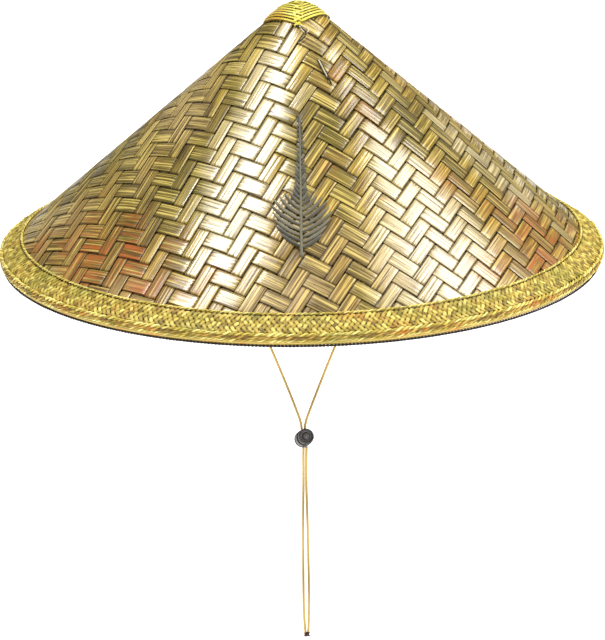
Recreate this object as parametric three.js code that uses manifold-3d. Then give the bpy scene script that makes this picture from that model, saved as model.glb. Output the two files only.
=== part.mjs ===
// A woven bamboo conical hat with a chin cord and a spring cord lock.
// Millimetres, +Z up. The origin is the middle of the head ring, on the hat's axis, with the front at -Y.
import * as THREE from 'three';
import { mergeVertices } from 'three/addons/utils/BufferGeometryUtils.js';
import Module from 'manifold-3d';

const wasm = await Module();
wasm.setup();

// ---- driving dimensions ----
const GAP = 0.3; // between touching pieces

// The cone: a square weave closed over three of its four quadrants has a half angle whose sine is 3/4.
const CONE_SIN = 3 / 4;
const CONE_COS = Math.sqrt(1 - CONE_SIN * CONE_SIN);
const APEX_Z = 95.5; // where the weave's outer surface would meet the axis with no rounding
const SLANT = 276.8; // from that apex to the layers' lower edge
const AROUND = 48; // facets round the hat
const WEAVE_TIP_RADIUS = 24;
const TIP_STEPS = 3;

// Depths under the weave's outer surface, measured square to it.
const WEAVE_THICKNESS = 1.4;
const LEAF_TOP = WEAVE_THICKNESS + GAP;
const LEAF_THICKNESS = 0.4;
const LATTICE_TOP = LEAF_TOP + LEAF_THICKNESS + GAP;
const LATTICE_THICKNESS = 1;
const INNER_FACE = LATTICE_TOP + LATTICE_THICKNESS;

// The lattice's windows: rows down the slant, each as many as fit round.
const WINDOW_PITCH = 58;
const WINDOW_RADIUS = 22;
const WINDOW_FIRST_ROW = 60;
const WINDOW_ROWS = 4;
const WINDOW_SIDES = 6;

// The rim: two hoops clamp the layers, and the braid folds round them.
const RIM_RADIUS = 210;
const RIM_Z = -92.6; // its underside
const HOOP_WIDTH = 8;
const HOOP_THICKNESS = 1.2;
const HOOP_FROM_EDGE = 1.5;
const BRAID_THICKNESS = 1.4;
const BRAID_WIDTH = 18;
const BRAID_STEP_WIDTH = 2; // where the braid comes down off the hoops
const EDGE_CORD_SIZE = 1.4;

// The peak cap
const CAP_SLANT = 26;
const CAP_OFFSET = 1.3; // its outer face over the weave
const CAP_TIP_RADIUS = 20;
const CAP_AROUND = 32;

// The head ring
const BAND_RADIUS = 90; // inside, for a 57 cm head
const BAND_THICKNESS = 1.2;
const BAND_HALF_HEIGHT = 7;
const RING_HOOP_THICKNESS = 1.8;
const RING_HOOP_HEIGHT = 2.2;
const RING_HOOP_Z = 5.5;
const RING_AROUND = 48;
const TIES = 6;
const TIE_WIDTH = 6;
const TIE_THICKNESS = 1.4;

// The chin cord
const CORD_RADIUS = 0.8;
const CORD_SIDES = 8;
const CORD_STEP = 4.8;
const CORD_HOLE_RADIUS = 1.2;
const KNOT_TOP_Z = -371.3;

// The cord lock: a barrel whose button faces forward, a little up and to the wearer's left.
const LOCK_Z = -225.8;
const LOCK_YAW = THREE.MathUtils.degToRad(12);
const LOCK_PITCH = THREE.MathUtils.degToRad(26);
const LOCK_RADIUS = 6;
const LOCK_FRONT = 3; // from the cord slot's middle to the body's front
const LOCK_BACK = 8;
const LOCK_WALL = 0.8;
const BORE_RADIUS = 3.9;
const STEM_RADIUS = 3.5;
const STEM_BACK = 2.6;
const HEAD_RADIUS = 5.6;
const HEAD_GAP = 2.4; // between the button's head and the body: a little more than its travel
const HEAD_THICKNESS = 3.6;
const SLOT_WIDTH = 5.4; // across the barrel, for two strands side by side
const SLOT_LENGTH = 2.6; // along the barrel
const SLOT_OFFSET = 1; // the button's slot stands forward of the body's, so the spring pinches the cord
const LOCK_AROUND = 24;

const SPRING_RADIUS = 2.6;
const SPRING_WIRE = 0.25;
const SPRING_TURNS = 3.5;
const SPRING_STEPS_A_TURN = 10;
const SPRING_SIDES = 6;

// ---- helpers ----
const hat = new THREE.Group();

/** A named mesh of one colour, added to a group. */
function add(name, geometry, colour, roughness, metalness = 0, parent = hat) {
  const material = new THREE.MeshStandardMaterial({ color: colour, roughness, metalness });
  const mesh = new THREE.Mesh(geometry, material);
  mesh.name = name;
  parent.add(mesh);
  return mesh;
}

/** Turns a profile of [radius, height] points round the Z axis. */
function turned(profile, around) {
  const points = profile.map(([radius, height]) => new THREE.Vector2(radius, height));
  return new THREE.LatheGeometry(points, around).rotateX(Math.PI / 2);
}

/** A closed ring: the corners run anticlockwise in (radius, height). */
function ring(corners, around) {
  return turned([...corners, corners[0]], around);
}

/** The point at a slant from the apex and an offset out of the weave's outer surface, as [radius, height]. */
function onCone(slant, offset) {
  return [slant * CONE_SIN + offset * CONE_COS, APEX_Z - slant * CONE_COS + offset * CONE_SIN];
}

/** The same point in space, at an azimuth from the front. */
function onConeAt(slant, offset, azimuth) {
  const [radius, height] = onCone(slant, offset);
  return new THREE.Vector3(radius * Math.sin(azimuth), -radius * Math.cos(azimuth), height);
}

/** The rounded tip of a surface at that offset, from the axis down to where the straight cone starts. */
function tip(offset, radius) {
  const centre = APEX_Z + (offset - radius) / CONE_SIN;
  const last = Math.acos(CONE_SIN);
  return Array.from({ length: TIP_STEPS + 1 }, (_, i) => {
    const angle = (last * i) / TIP_STEPS;
    return [i === 0 ? 0 : radius * Math.sin(angle), centre + radius * Math.cos(angle)];
  });
}

/** A conical layer between two depths under the weave's outer surface. */
function layer(top, bottom) {
  const edge = SLANT - GAP;
  return [
    ...tip(-bottom, WEAVE_TIP_RADIUS - bottom),
    onCone(edge, -bottom),
    onCone(edge, -top),
    ...tip(-top, WEAVE_TIP_RADIUS - top).reverse(),
  ];
}

/** A closed geometry as a manifold-3d solid. */
function solid(geometry) {
  const bare = geometry.clone();
  bare.deleteAttribute('normal');
  bare.deleteAttribute('uv');
  const merged = mergeVertices(bare, 1e-4);
  const index = merged.index.array;
  const triVerts = [];
  for (let i = 0; i < index.length; i += 3) {
    const [a, b, c] = index.slice(i, i + 3);
    if (a !== b && b !== c && c !== a) triVerts.push(a, b, c);
  }
  return new wasm.Manifold(new wasm.Mesh({
    numProp: 3,
    vertProperties: new Float32Array(merged.attributes.position.array),
    triVerts: new Uint32Array(triVerts),
  }));
}

/** The first solid less all the others, as a geometry. */
function cut(geometry, tools) {
  const result = tools.reduce((left, tool) => left.subtract(solid(tool)), solid(geometry));
  const mesh = result.getMesh();
  const cutGeometry = new THREE.BufferGeometry();
  cutGeometry.setAttribute('position', new THREE.BufferAttribute(new Float32Array(mesh.vertProperties), 3));
  cutGeometry.setIndex(new THREE.BufferAttribute(new Uint32Array(mesh.triVerts), 1));
  cutGeometry.computeVertexNormals();
  return cutGeometry;
}

/** A round tube along a curve, with its ends closed. */
function tube(curve, radius, sides, steps) {
  const section = new THREE.Shape(
    Array.from({ length: sides }, (_, i) => {
      const angle = (2 * Math.PI * i) / sides;
      return new THREE.Vector2(radius * Math.cos(angle), radius * Math.sin(angle));
    }),
  );
  return new THREE.ExtrudeGeometry(section, { steps, extrudePath: curve, curveSegments: 1 });
}

/** A tube of cord through hand-placed points. */
function cord(points) {
  const curve = new THREE.CatmullRomCurve3(points.map((p) => new THREE.Vector3(...p)), false, 'centripetal');
  return tube(curve, CORD_RADIUS, CORD_SIDES, Math.round(curve.getLength() / CORD_STEP));
}

// ---- the cone's three layers ----
add('outer_weave', turned(layer(0, WEAVE_THICKNESS), AROUND), 0xb09a55, 0.55);
add('leaf_lining', turned(layer(LEAF_TOP, LEAF_TOP + LEAF_THICKNESS), AROUND), 0x9a8752, 0.8);

/** Six-sided windows through the lattice, square to its surface. */
function windows() {
  const tools = [];
  for (let row = 0; row < WINDOW_ROWS; row += 1) {
    const slant = WINDOW_FIRST_ROW + row * WINDOW_PITCH;
    const count = Math.floor((2 * Math.PI * slant * CONE_SIN) / WINDOW_PITCH);
    for (let i = 0; i < count; i += 1) {
      const azimuth = (2 * Math.PI * (i + (row % 2) / 2)) / count;
      const depth = 4 * LATTICE_THICKNESS;
      const prism = new THREE.CylinderGeometry(WINDOW_RADIUS, WINDOW_RADIUS, depth, WINDOW_SIDES);
      const [east, front] = [Math.sin(azimuth), -Math.cos(azimuth)];
      const outward = new THREE.Vector3(CONE_COS * east, CONE_COS * front, CONE_SIN);
      const turn = new THREE.Quaternion().setFromUnitVectors(new THREE.Vector3(0, 1, 0), outward);
      const middle = onConeAt(slant, -(LATTICE_TOP + INNER_FACE) / 2, azimuth);
      tools.push(prism.applyQuaternion(turn).translate(middle.x, middle.y, middle.z));
    }
  }
  return tools;
}
add('inner_lattice', cut(turned(layer(LATTICE_TOP, INNER_FACE), AROUND), windows()), 0xc2a566, 0.6);

// ---- the rim ----
/** A band lying on the cone's surface, between two slants and two offsets. */
function coneBand(top, bottom, inner, outer) {
  return [onCone(bottom, inner), onCone(bottom, outer), onCone(top, outer), onCone(top, inner)];
}
const hoopTop = SLANT - HOOP_FROM_EDGE - HOOP_WIDTH;
const hoopBottom = SLANT - HOOP_FROM_EDGE;
const outerHoop = GAP;
const innerHoop = -INNER_FACE - GAP;
add(
  'outer_rim_hoop',
  ring(coneBand(hoopTop, hoopBottom, outerHoop, outerHoop + HOOP_THICKNESS), AROUND),
  0xb89a58, 0.5,
);
add(
  'inner_rim_hoop',
  ring(coneBand(hoopTop, hoopBottom, innerHoop - HOOP_THICKNESS, innerHoop), AROUND),
  0xb89a58, 0.5,
);

/** The braid's section: down the underside, along the flat bottom, up the outside, back along the hoops. */
function braidSection() {
  const top = SLANT - BRAID_WIDTH;
  const step = hoopTop - GAP;
  const inside = SLANT + GAP;
  const overHoop = outerHoop + HOOP_THICKNESS + GAP;
  const underHoop = innerHoop - HOOP_THICKNESS - GAP;
  return [
    onCone(top, innerHoop),
    onCone(top + 1, innerHoop - BRAID_THICKNESS),
    onCone(step - BRAID_STEP_WIDTH, innerHoop - BRAID_THICKNESS),
    onCone(step, underHoop - BRAID_THICKNESS),
    onCone(SLANT - 1, underHoop - BRAID_THICKNESS),
    [RIM_RADIUS - 6.8, RIM_Z],
    [RIM_RADIUS - 3.6, RIM_Z],
    [RIM_RADIUS - 1.2, RIM_Z + 2.2],
    [RIM_RADIUS, RIM_Z + 5.2],
    onCone(SLANT - 2, overHoop + BRAID_THICKNESS),
    onCone(step, overHoop + BRAID_THICKNESS),
    onCone(step - BRAID_STEP_WIDTH, outerHoop + BRAID_THICKNESS),
    onCone(top + 1, outerHoop + BRAID_THICKNESS),
    onCone(top, outerHoop + GAP),
    onCone(top, outerHoop),
    onCone(step, outerHoop),
    onCone(step, overHoop),
    onCone(inside, overHoop),
    onCone(inside, underHoop),
    onCone(step, underHoop),
    onCone(step, innerHoop),
  ];
}
add('rim_binding', ring(braidSection(), AROUND), 0xd8c65c, 0.75);

const cordBottom = SLANT - BRAID_WIDTH - GAP;
const cordTop = cordBottom - EDGE_CORD_SIZE;
add(
  'binding_outer_cord',
  ring(coneBand(cordTop, cordBottom, outerHoop, outerHoop + EDGE_CORD_SIZE), AROUND),
  0xcdb950, 0.75,
);
add(
  'binding_inner_cord',
  ring(coneBand(cordTop, cordBottom, innerHoop - EDGE_CORD_SIZE, innerHoop), AROUND),
  0xcdb950, 0.75,
);

// ---- the peak ----
add('peak_cap', turned([
  ...tip(GAP, WEAVE_TIP_RADIUS + GAP),
  onCone(CAP_SLANT, GAP),
  onCone(CAP_SLANT, CAP_OFFSET),
  ...tip(CAP_OFFSET, CAP_TIP_RADIUS).reverse(),
], CAP_AROUND), 0xe6d64e, 0.6);

/** A thread that lies on the weave: [slant, offset, azimuth in degrees] for each point. */
function thread(places, radius, steps) {
  const points = places.map(([slant, offset, degrees]) =>
    onConeAt(slant, offset, THREE.MathUtils.degToRad(degrees)));
  return tube(new THREE.CatmullRomCurve3(points), radius, 6, steps);
}
const PEAK_TIE = [[27.5, 1, -4], [30, 2, 4], [33.5, 2.4, 10], [37, 1.8, 6], [40, 1, 0]];
const FRONT_TIE = [[56, 1, 19], [58, 1.5, 19.4], [64, 1.7, 20.4], [71, 1.5, 21.3], [73, 1, 21.6]];
add('peak_tie', thread(PEAK_TIE, 0.45, 14), 0x3a3020, 0.8);
add('front_tie', thread(FRONT_TIE, 0.6, 10), 0xd9cfa6, 0.7);

// ---- the leaf motif: a thin teardrop plate bent to the cone ----
const MOTIF_TOP = 98;
const MOTIF_BOTTOM = 214;
const MOTIF_HALF_WIDTH = 25;
const MOTIF_THICKNESS = 0.4;
const MOTIF_ROWS = 10;
const MOTIF_COLUMNS = 6;

/** Half the plate's width at a share of the way down: a slim spire over a broad base. */
function motifHalfWidth(share) {
  const spire = 1.2 + 6.5 * share;
  const base = MOTIF_HALF_WIDTH * Math.max(0, Math.sin(Math.PI * Math.min(1, (share - 0.62) / 0.4)));
  return share > 0.62 ? Math.max(spire * (1.02 - share) * 6, base) : spire;
}

/** The plate as two grids of points, outer and inner, stitched round their edge. */
function motifPlate() {
  const columns = MOTIF_COLUMNS + 1;
  const count = (MOTIF_ROWS + 1) * columns;
  const positions = [];
  for (const offset of [GAP + MOTIF_THICKNESS, GAP]) {
    for (let row = 0; row <= MOTIF_ROWS; row += 1) {
      const share = row / MOTIF_ROWS;
      const slant = MOTIF_TOP + (MOTIF_BOTTOM - MOTIF_TOP) * share;
      for (let column = 0; column <= MOTIF_COLUMNS; column += 1) {
        const across = motifHalfWidth(share) * ((2 * column) / MOTIF_COLUMNS - 1);
        positions.push(...onConeAt(slant, offset, across / (slant * CONE_SIN)));
      }
    }
  }
  const index = [];
  const quad = (a, b, c, d) => index.push(a, b, c, a, c, d);
  for (let row = 0; row < MOTIF_ROWS; row += 1) {
    for (let column = 0; column < MOTIF_COLUMNS; column += 1) {
      const a = row * columns + column;
      quad(a, a + columns, a + columns + 1, a + 1);
      quad(count + a, count + a + 1, count + a + columns + 1, count + a + columns);
    }
    const left = row * columns;
    const right = left + MOTIF_COLUMNS;
    quad(left, count + left, count + left + columns, left + columns);
    quad(right, right + columns, count + right + columns, count + right);
  }
  for (let column = 0; column < MOTIF_COLUMNS; column += 1) {
    const bottom = MOTIF_ROWS * columns + column;
    quad(column, column + 1, count + column + 1, count + column);
    quad(bottom, count + bottom, count + bottom + 1, bottom + 1);
  }
  const plate = new THREE.BufferGeometry();
  plate.setAttribute('position', new THREE.Float32BufferAttribute(positions, 3));
  plate.setIndex(index);
  plate.computeVertexNormals();
  return plate;
}
add('leaf_motif', motifPlate(), 0x6a6654, 0.8);

// ---- the head ring ----
const bandOuter = BAND_RADIUS + BAND_THICKNESS;
const ringHoopInner = bandOuter + GAP;
const ringHoopOuter = ringHoopInner + RING_HOOP_THICKNESS;

/** An upright ring between two radii and two heights. */
function upright(inner, outer, low, high) {
  return ring([[inner, low], [outer, low], [outer, high], [inner, high]], RING_AROUND);
}

const cordHoles = [-1, 1].map((side) =>
  new THREE.CylinderGeometry(CORD_HOLE_RADIUS, CORD_HOLE_RADIUS, 8 * BAND_THICKNESS, 12)
    .rotateZ(Math.PI / 2)
    .translate(side * BAND_RADIUS, 0, 0));
add(
  'ring_band',
  cut(upright(BAND_RADIUS, bandOuter, -BAND_HALF_HEIGHT, BAND_HALF_HEIGHT), cordHoles),
  0xc9b074, 0.6,
);
for (const [name, middle] of [['ring_upper_hoop', RING_HOOP_Z], ['ring_lower_hoop', -RING_HOOP_Z]]) {
  const half = RING_HOOP_HEIGHT / 2;
  add(name, upright(ringHoopInner, ringHoopOuter, middle - half, middle + half), 0xb7965a, 0.55);
}

/** A lashing round the whole ring, its upper outer corner sloped to lie along the cone. */
function tieLink() {
  const innerSide = BAND_RADIUS - GAP;
  const outerSide = ringHoopOuter + GAP;
  const low = -BAND_HALF_HEIGHT - GAP;
  const high = BAND_HALF_HEIGHT + GAP;
  const slopeStart = RING_HOOP_Z + RING_HOOP_HEIGHT / 2 + GAP;
  const points = (list) => list.map(([x, y]) => new THREE.Vector2(x, y));
  const outline = new THREE.Shape(points([
    [innerSide - TIE_THICKNESS, low - TIE_THICKNESS],
    [outerSide + TIE_THICKNESS, low - TIE_THICKNESS],
    [outerSide + TIE_THICKNESS, slopeStart - GAP],
    [outerSide - TIE_THICKNESS / 2, high + TIE_THICKNESS],
    [innerSide - TIE_THICKNESS, high + TIE_THICKNESS],
  ]));
  outline.holes.push(new THREE.Path(points([
    [innerSide, low],
    [innerSide, high],
    [ringHoopInner, high],
    [outerSide, slopeStart],
    [outerSide, low],
  ])));
  return new THREE.ExtrudeGeometry(outline, { depth: TIE_WIDTH, bevelEnabled: false })
    .translate(0, 0, -TIE_WIDTH / 2)
    .rotateX(Math.PI / 2);
}
for (let i = 0; i < TIES; i += 1) {
  const tie = add(`ring_tie_${i + 1}`, tieLink(), 0x8a6a3a, 0.6);
  tie.rotation.z = (2 * Math.PI * (i + 0.5)) / TIES;
}

// ---- the chin cord ----
/** The stopped end of the cord: a knot outside the ring and a stub through its hole. */
function cordStop(side) {
  const profile = [
    [0, BAND_RADIUS - 0.6], [CORD_RADIUS, BAND_RADIUS - 0.6], [CORD_RADIUS, bandOuter + GAP],
    [2, bandOuter + 0.9], [2.5, bandOuter + 2.6], [1.8, bandOuter + 4.4], [0, bandOuter + 5],
  ];
  return turned(profile, 12).rotateY((side * Math.PI) / 2);
}

// One strand each side: out of the ring's hole, down to the lock, and from under the lock to the end knot.
const CORD_ROUTES = {
  cord_left_upper: [
    [-89.1, 0, 0], [-87.9, 0, -0.4], [-86.8, 0, -1.6], [-85.8, 0, -3.8], [-75, 0, -30], [-56, 0, -76.2],
    [-36, 0.1, -125.4], [-17, 0.5, -173.1], [-6.5, 1.3, -201.6], [-2.4, 2.1, -214.4], [-1.63, 2.38, -220],
  ],
  cord_right_upper: [
    [89.1, 0, 0], [87.9, 0, -0.4], [86.8, 0, -1.6], [85.8, 0, -3.8], [75, 0, -30], [56, 0, -76.2],
    [36, 0.1, -125.4], [16.5, 0.6, -173.6], [5.8, 1.5, -201.6], [1.4, 2.5, -214.4], [0.52, 2.84, -220],
  ],
  cord_left_lower: [
    [-0.52, -2.84, -231.6], [-0.7, -2.5, -236.3], [-0.95, -0.8, -258.3], [-1.6, 0, -291.3],
    [-1.9, 0, -326.3], [-1.9, 0, -351.3], [-1.4, 0, -365.3], [-1, 0, -371],
  ],
  cord_right_lower: [
    [1.63, -2.38, -231.6], [1.45, -2.1, -236.3], [1.15, -0.7, -258.3], [1.6, 0, -291.3],
    [1.9, 0, -326.3], [1.9, 0, -351.3], [1.4, 0, -365.3], [1, 0, -371],
  ],
};
add('cord_stop_left', cordStop(-1), 0xd8b64a, 0.6);
add('cord_stop_right', cordStop(1), 0xd8b64a, 0.6);
for (const [name, route] of Object.entries(CORD_ROUTES)) {
  add(name, cord(route), 0xd8b64a, 0.6);
}
add('end_knot', turned([
  [0, KNOT_TOP_Z - 5], [1.4, KNOT_TOP_Z - 4.6], [2, KNOT_TOP_Z - 3], [1.9, KNOT_TOP_Z - 1.2], [0, KNOT_TOP_Z],
], 12), 0x2a2118, 0.5);

// ---- the cord lock, in its own frame: the barrel along Y, its button at -Y, the cord slot along Z ----
const lock = new THREE.Group();
lock.position.z = LOCK_Z;
lock.rotation.set(-LOCK_PITCH, 0, LOCK_YAW, 'ZYX');
hat.add(lock);

/** Turns a profile of [radius, distance towards the front] round the barrel's axis. */
function barrel(profile) {
  return turned(profile, LOCK_AROUND).rotateX(Math.PI / 2);
}

/** A block through the barrel where the cord passes. */
function slot(forward) {
  return new THREE.BoxGeometry(SLOT_WIDTH, SLOT_LENGTH, 4 * LOCK_RADIUS).translate(0, -forward, 0);
}
const boreBack = -LOCK_BACK + LOCK_WALL;
add('lock_body', cut(barrel([
  [0, -LOCK_BACK],
  [LOCK_RADIUS - 1.6, -LOCK_BACK],
  [LOCK_RADIUS - 0.4, 0.9 - LOCK_BACK],
  [LOCK_RADIUS, 2.2 - LOCK_BACK],
  [LOCK_RADIUS, LOCK_FRONT - 0.6],
  [LOCK_RADIUS - 0.6, LOCK_FRONT],
  [BORE_RADIUS, LOCK_FRONT],
  [BORE_RADIUS, boreBack],
  [0, boreBack],
]), [slot(0)]), 0x17171a, 0.4, 0, lock);

const headBack = LOCK_FRONT + HEAD_GAP;
const headFront = headBack + HEAD_THICKNESS;
add('lock_button', cut(barrel([
  [0, -STEM_BACK],
  [STEM_RADIUS, -STEM_BACK],
  [STEM_RADIUS, headBack],
  [HEAD_RADIUS - 0.3, headBack],
  [HEAD_RADIUS, headBack + 0.4],
  [HEAD_RADIUS, headFront - 0.9],
  [HEAD_RADIUS - 1, headFront],
  [0, headFront],
]), [slot(SLOT_OFFSET)]), 0x1d1d20, 0.4, 0, lock);

/** A coil spring from the bore's end to the button's stem. */
class Coil extends THREE.Curve {
  getPoint(t, target = new THREE.Vector3()) {
    const start = -boreBack - GAP - SPRING_WIRE;
    const end = STEM_BACK + GAP + SPRING_WIRE;
    const angle = 2 * Math.PI * SPRING_TURNS * t;
    return target.set(
      SPRING_RADIUS * Math.cos(angle),
      start + (end - start) * t,
      SPRING_RADIUS * Math.sin(angle),
    );
  }
}
const springSteps = SPRING_TURNS * SPRING_STEPS_A_TURN;
add('lock_spring', tube(new Coil(), SPRING_WIRE, SPRING_SIDES, springSteps), 0x9a9a9c, 0.35, 1, lock);

export default hat;
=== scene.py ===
import math

import bpy
import numpy as np
from mathutils import Matrix, Vector


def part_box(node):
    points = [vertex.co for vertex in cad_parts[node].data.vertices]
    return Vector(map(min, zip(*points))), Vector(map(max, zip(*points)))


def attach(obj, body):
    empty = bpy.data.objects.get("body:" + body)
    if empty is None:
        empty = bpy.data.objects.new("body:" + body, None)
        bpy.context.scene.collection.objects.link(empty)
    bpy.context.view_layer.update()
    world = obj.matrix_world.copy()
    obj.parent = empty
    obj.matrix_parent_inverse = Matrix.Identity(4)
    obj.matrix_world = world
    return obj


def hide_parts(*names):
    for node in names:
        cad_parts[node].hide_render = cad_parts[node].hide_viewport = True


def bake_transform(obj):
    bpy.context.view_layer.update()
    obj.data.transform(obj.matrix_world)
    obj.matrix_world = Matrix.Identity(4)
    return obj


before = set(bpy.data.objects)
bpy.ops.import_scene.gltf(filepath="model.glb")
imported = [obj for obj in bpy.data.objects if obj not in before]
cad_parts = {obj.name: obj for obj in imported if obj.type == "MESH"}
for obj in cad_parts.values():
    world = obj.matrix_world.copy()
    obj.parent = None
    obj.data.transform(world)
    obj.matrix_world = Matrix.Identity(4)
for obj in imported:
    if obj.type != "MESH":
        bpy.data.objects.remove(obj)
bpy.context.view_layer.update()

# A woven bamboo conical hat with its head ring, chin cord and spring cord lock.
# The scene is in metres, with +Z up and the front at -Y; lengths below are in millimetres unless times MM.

MM = 0.001
rng = np.random.default_rng(11)

# ---- camera ----
AIM = np.array([0.0, 0.0, -0.1390])
CAMERA_DISTANCE = 4.2
CAMERA_ELEVATION = math.radians(17.3)
CAMERA_ROLL = math.radians(0.8)
LENS = 338.5


def make_camera():
    data = bpy.data.cameras.new("camera")
    data.sensor_width = 36
    data.lens = LENS
    data.clip_end = 50
    camera = bpy.data.objects.new("camera", data)
    bpy.context.scene.collection.objects.link(camera)
    back = np.array([0, -math.cos(CAMERA_ELEVATION), math.sin(CAMERA_ELEVATION)])
    camera.location = AIM + back * CAMERA_DISTANCE
    level = Matrix.Rotation(math.pi / 2 - CAMERA_ELEVATION, 4, "X")
    camera.rotation_euler = (level @ Matrix.Rotation(-CAMERA_ROLL, 4, "Z")).to_euler()
    bpy.context.scene.camera = camera


make_camera()


# ---- shader helper ----
def srgb(red, green, blue):
    """A 0-255 colour as linear RGBA."""
    values = np.array([red, green, blue]) / 255
    linear = np.where(values <= 0.04045, values / 12.92, ((values + 0.055) / 1.055) ** 2.4)
    return (*linear.tolist(), 1.0)


class Shader:
    """A node material built step by step; each step returns an output socket.

    fibre and tint are the two vectors that a Patch gives each vertex."""

    def __init__(self, name, **settings):
        self.material = bpy.data.materials.new(name)
        self.material.use_nodes = True
        self.tree = self.material.node_tree
        self.bsdf = self.tree.nodes["Principled BSDF"]
        for key, value in settings.items():
            self.bsdf.inputs[key.replace("_", " ")].default_value = value
        self.fibre = self.attribute("fibre")
        self.tint = self.node("ShaderNodeSeparateXYZ", {"Vector": self.attribute("tint")}).outputs

    def feed(self, socket, value):
        if isinstance(value, bpy.types.NodeSocket):
            self.tree.links.new(value, socket)
        else:
            socket.default_value = value

    def node(self, kind, inputs=(), **settings):
        made = self.tree.nodes.new(kind)
        for key, value in settings.items():
            setattr(made, key, value)
        for key, value in dict(inputs).items():
            self.feed(made.inputs[key], value)
        return made

    def attribute(self, name):
        return self.node("ShaderNodeAttribute", attribute_name=name).outputs["Vector"]

    def place(self):
        return self.node("ShaderNodeTexCoord").outputs["Object"]

    def noise(self, vector, scale, detail=3.0, roughness=0.6):
        return self.node("ShaderNodeTexNoise", {
            "Vector": vector, "Scale": scale, "Detail": detail, "Roughness": roughness,
        }).outputs["Fac"]

    def fibres(self, stretch, detail=3.0, roughness=0.6):
        """Noise that follows the fibres; stretch scales it across, along and from strip to strip."""
        drawn = self.node("ShaderNodeVectorMath", {0: self.fibre, 1: stretch}, operation="MULTIPLY")
        return self.noise(drawn.outputs[0], 1, detail, roughness)

    def ramp(self, factor, stops):
        """stops are (position, colour) or (position, number)."""
        made = self.node("ShaderNodeValToRGB", {"Fac": factor})
        elements = made.color_ramp.elements
        while len(elements) < len(stops):
            elements.new(0.5)
        for element, (position, colour) in zip(elements, stops):
            element.position = position
            element.color = colour if isinstance(colour, tuple) else (colour, colour, colour, 1)
        return made.outputs["Color"]

    def mix(self, factor, first, second, how="MIX"):
        made = self.node("ShaderNodeMix", data_type="RGBA", blend_type=how)
        self.feed(made.inputs["Factor"], factor)
        self.feed(made.inputs[6], first)
        self.feed(made.inputs[7], second)
        return made.outputs[2]

    def math(self, how, first, second):
        return self.node("ShaderNodeMath", {0: first, 1: second}, operation=how).outputs[0]

    def times(self, first, second):
        return self.math("MULTIPLY", first, second)

    def total(self, first, first_share, second, second_share):
        """Two values added, each by its share."""
        return self.math("ADD", self.times(first, first_share), self.times(second, second_share))

    def finish(self, colour, roughness=None, height=None, depth=0.1 * MM, strength=1.0):
        self.feed(self.bsdf.inputs["Base Color"], colour)
        if roughness is not None:
            self.feed(self.bsdf.inputs["Roughness"], roughness)
        if height is not None:
            bump = self.node("ShaderNodeBump", {"Height": height, "Distance": depth, "Strength": strength})
            self.feed(self.bsdf.inputs["Normal"], bump.outputs["Normal"])
        return self.material


# ---- mesh helper ----
class Patch:
    """Swept strips and tubes gathered into one mesh, with two vectors a vertex for the materials.

    fibre is (across, along, which strip) in millimetres, and tint is (tone, stain, shade); the shade mostly
    darkens as painted shade, and on the weave the tone also carries painted light."""

    def __init__(self):
        self.places, self.quads, self.caps, self.fibre, self.tint = [], [], [], [], []
        self.count = 0

    def sweep(self, rings, fibre=(0, 0, 0), tint=(0, 0, 0), closed=False):
        """Joins rings of points; each value of fibre and tint is a number or fits the grid of points."""
        rings = np.asarray(rings, float)
        steps, around = rings.shape[:2]
        i = np.arange(steps if closed else steps - 1)[:, None]
        j = np.arange(around)[None, :]
        after = (i + 1) % steps
        quads = np.stack([i * around + j, i * around + (j + 1) % around,
                          after * around + (j + 1) % around, after * around + j], -1)
        middle = rings[steps // 2]
        step = rings[(steps // 2 + 1) % steps] - middle
        normals = np.cross(np.roll(middle, -1, 0) - middle, step)
        inside_out = np.sum(normals * (middle - middle.mean(0))) < 0
        quads = quads.reshape(-1, 4) + self.count
        self.quads.append(quads[:, ::-1] if inside_out else quads)
        if not closed:
            first = list(range(self.count, self.count + around))
            last = [k + (steps - 1) * around for k in first]
            self.caps += [first, last[::-1]] if inside_out else [first[::-1], last]
        self.places.append(rings.reshape(-1, 3))
        for kept, values in ((self.fibre, fibre), (self.tint, tint)):
            grids = [np.broadcast_to(value, (steps, around)) for value in values]
            kept.append(np.stack(grids, -1).reshape(-1, 3))
        self.count += steps * around

    def build(self, name, material, node=None, body="hat", sharp=None):
        """One object that rides on a body, and stands for a CAD node where one is named."""
        quads = np.concatenate(self.quads)
        loops = np.concatenate([quads.ravel()] + [np.array(cap) for cap in self.caps]).astype(np.int32)
        sizes = np.concatenate([np.full(len(quads), 4), [len(cap) for cap in self.caps]]).astype(np.int32)
        mesh = bpy.data.meshes.new(name)
        mesh.vertices.add(self.count)
        mesh.vertices.foreach_set("co", np.concatenate(self.places).astype(np.float32).ravel())
        mesh.loops.add(len(loops))
        mesh.loops.foreach_set("vertex_index", loops)
        mesh.polygons.add(len(sizes))
        starts = np.concatenate([[0], np.cumsum(sizes)[:-1]]).astype(np.int32)
        mesh.polygons.foreach_set("loop_start", starts)
        mesh.polygons.foreach_set("loop_total", sizes)
        mesh.update(calc_edges=True)
        mesh.shade_smooth()
        if sharp is not None:
            mesh.set_sharp_from_angle(angle=sharp)
        for label, values in (("fibre", self.fibre), ("tint", self.tint)):
            attribute = mesh.attributes.new(label, "FLOAT_VECTOR", "POINT")
            attribute.data.foreach_set("vector", np.concatenate(values).astype(np.float32).ravel())
        made = bpy.data.objects.new(name, mesh)
        bpy.context.scene.collection.objects.link(made)
        mesh.materials.append(material)
        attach(made, body)
        if node:
            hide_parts(node)
        return made


def unparented(made):
    """A blended piece has no parent."""
    made.parent = None
    return made


# ---- small geometry ----
def smooth(x):
    x = np.clip(x, 0, 1)
    return x * x * (3 - 2 * x)


def round_angles(count):
    return 2 * math.pi * np.arange(count) / count


def distances(points):
    """How far along its line each point lies."""
    return np.concatenate([[0], np.cumsum(np.linalg.norm(np.diff(points, axis=0), axis=1))])


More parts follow.
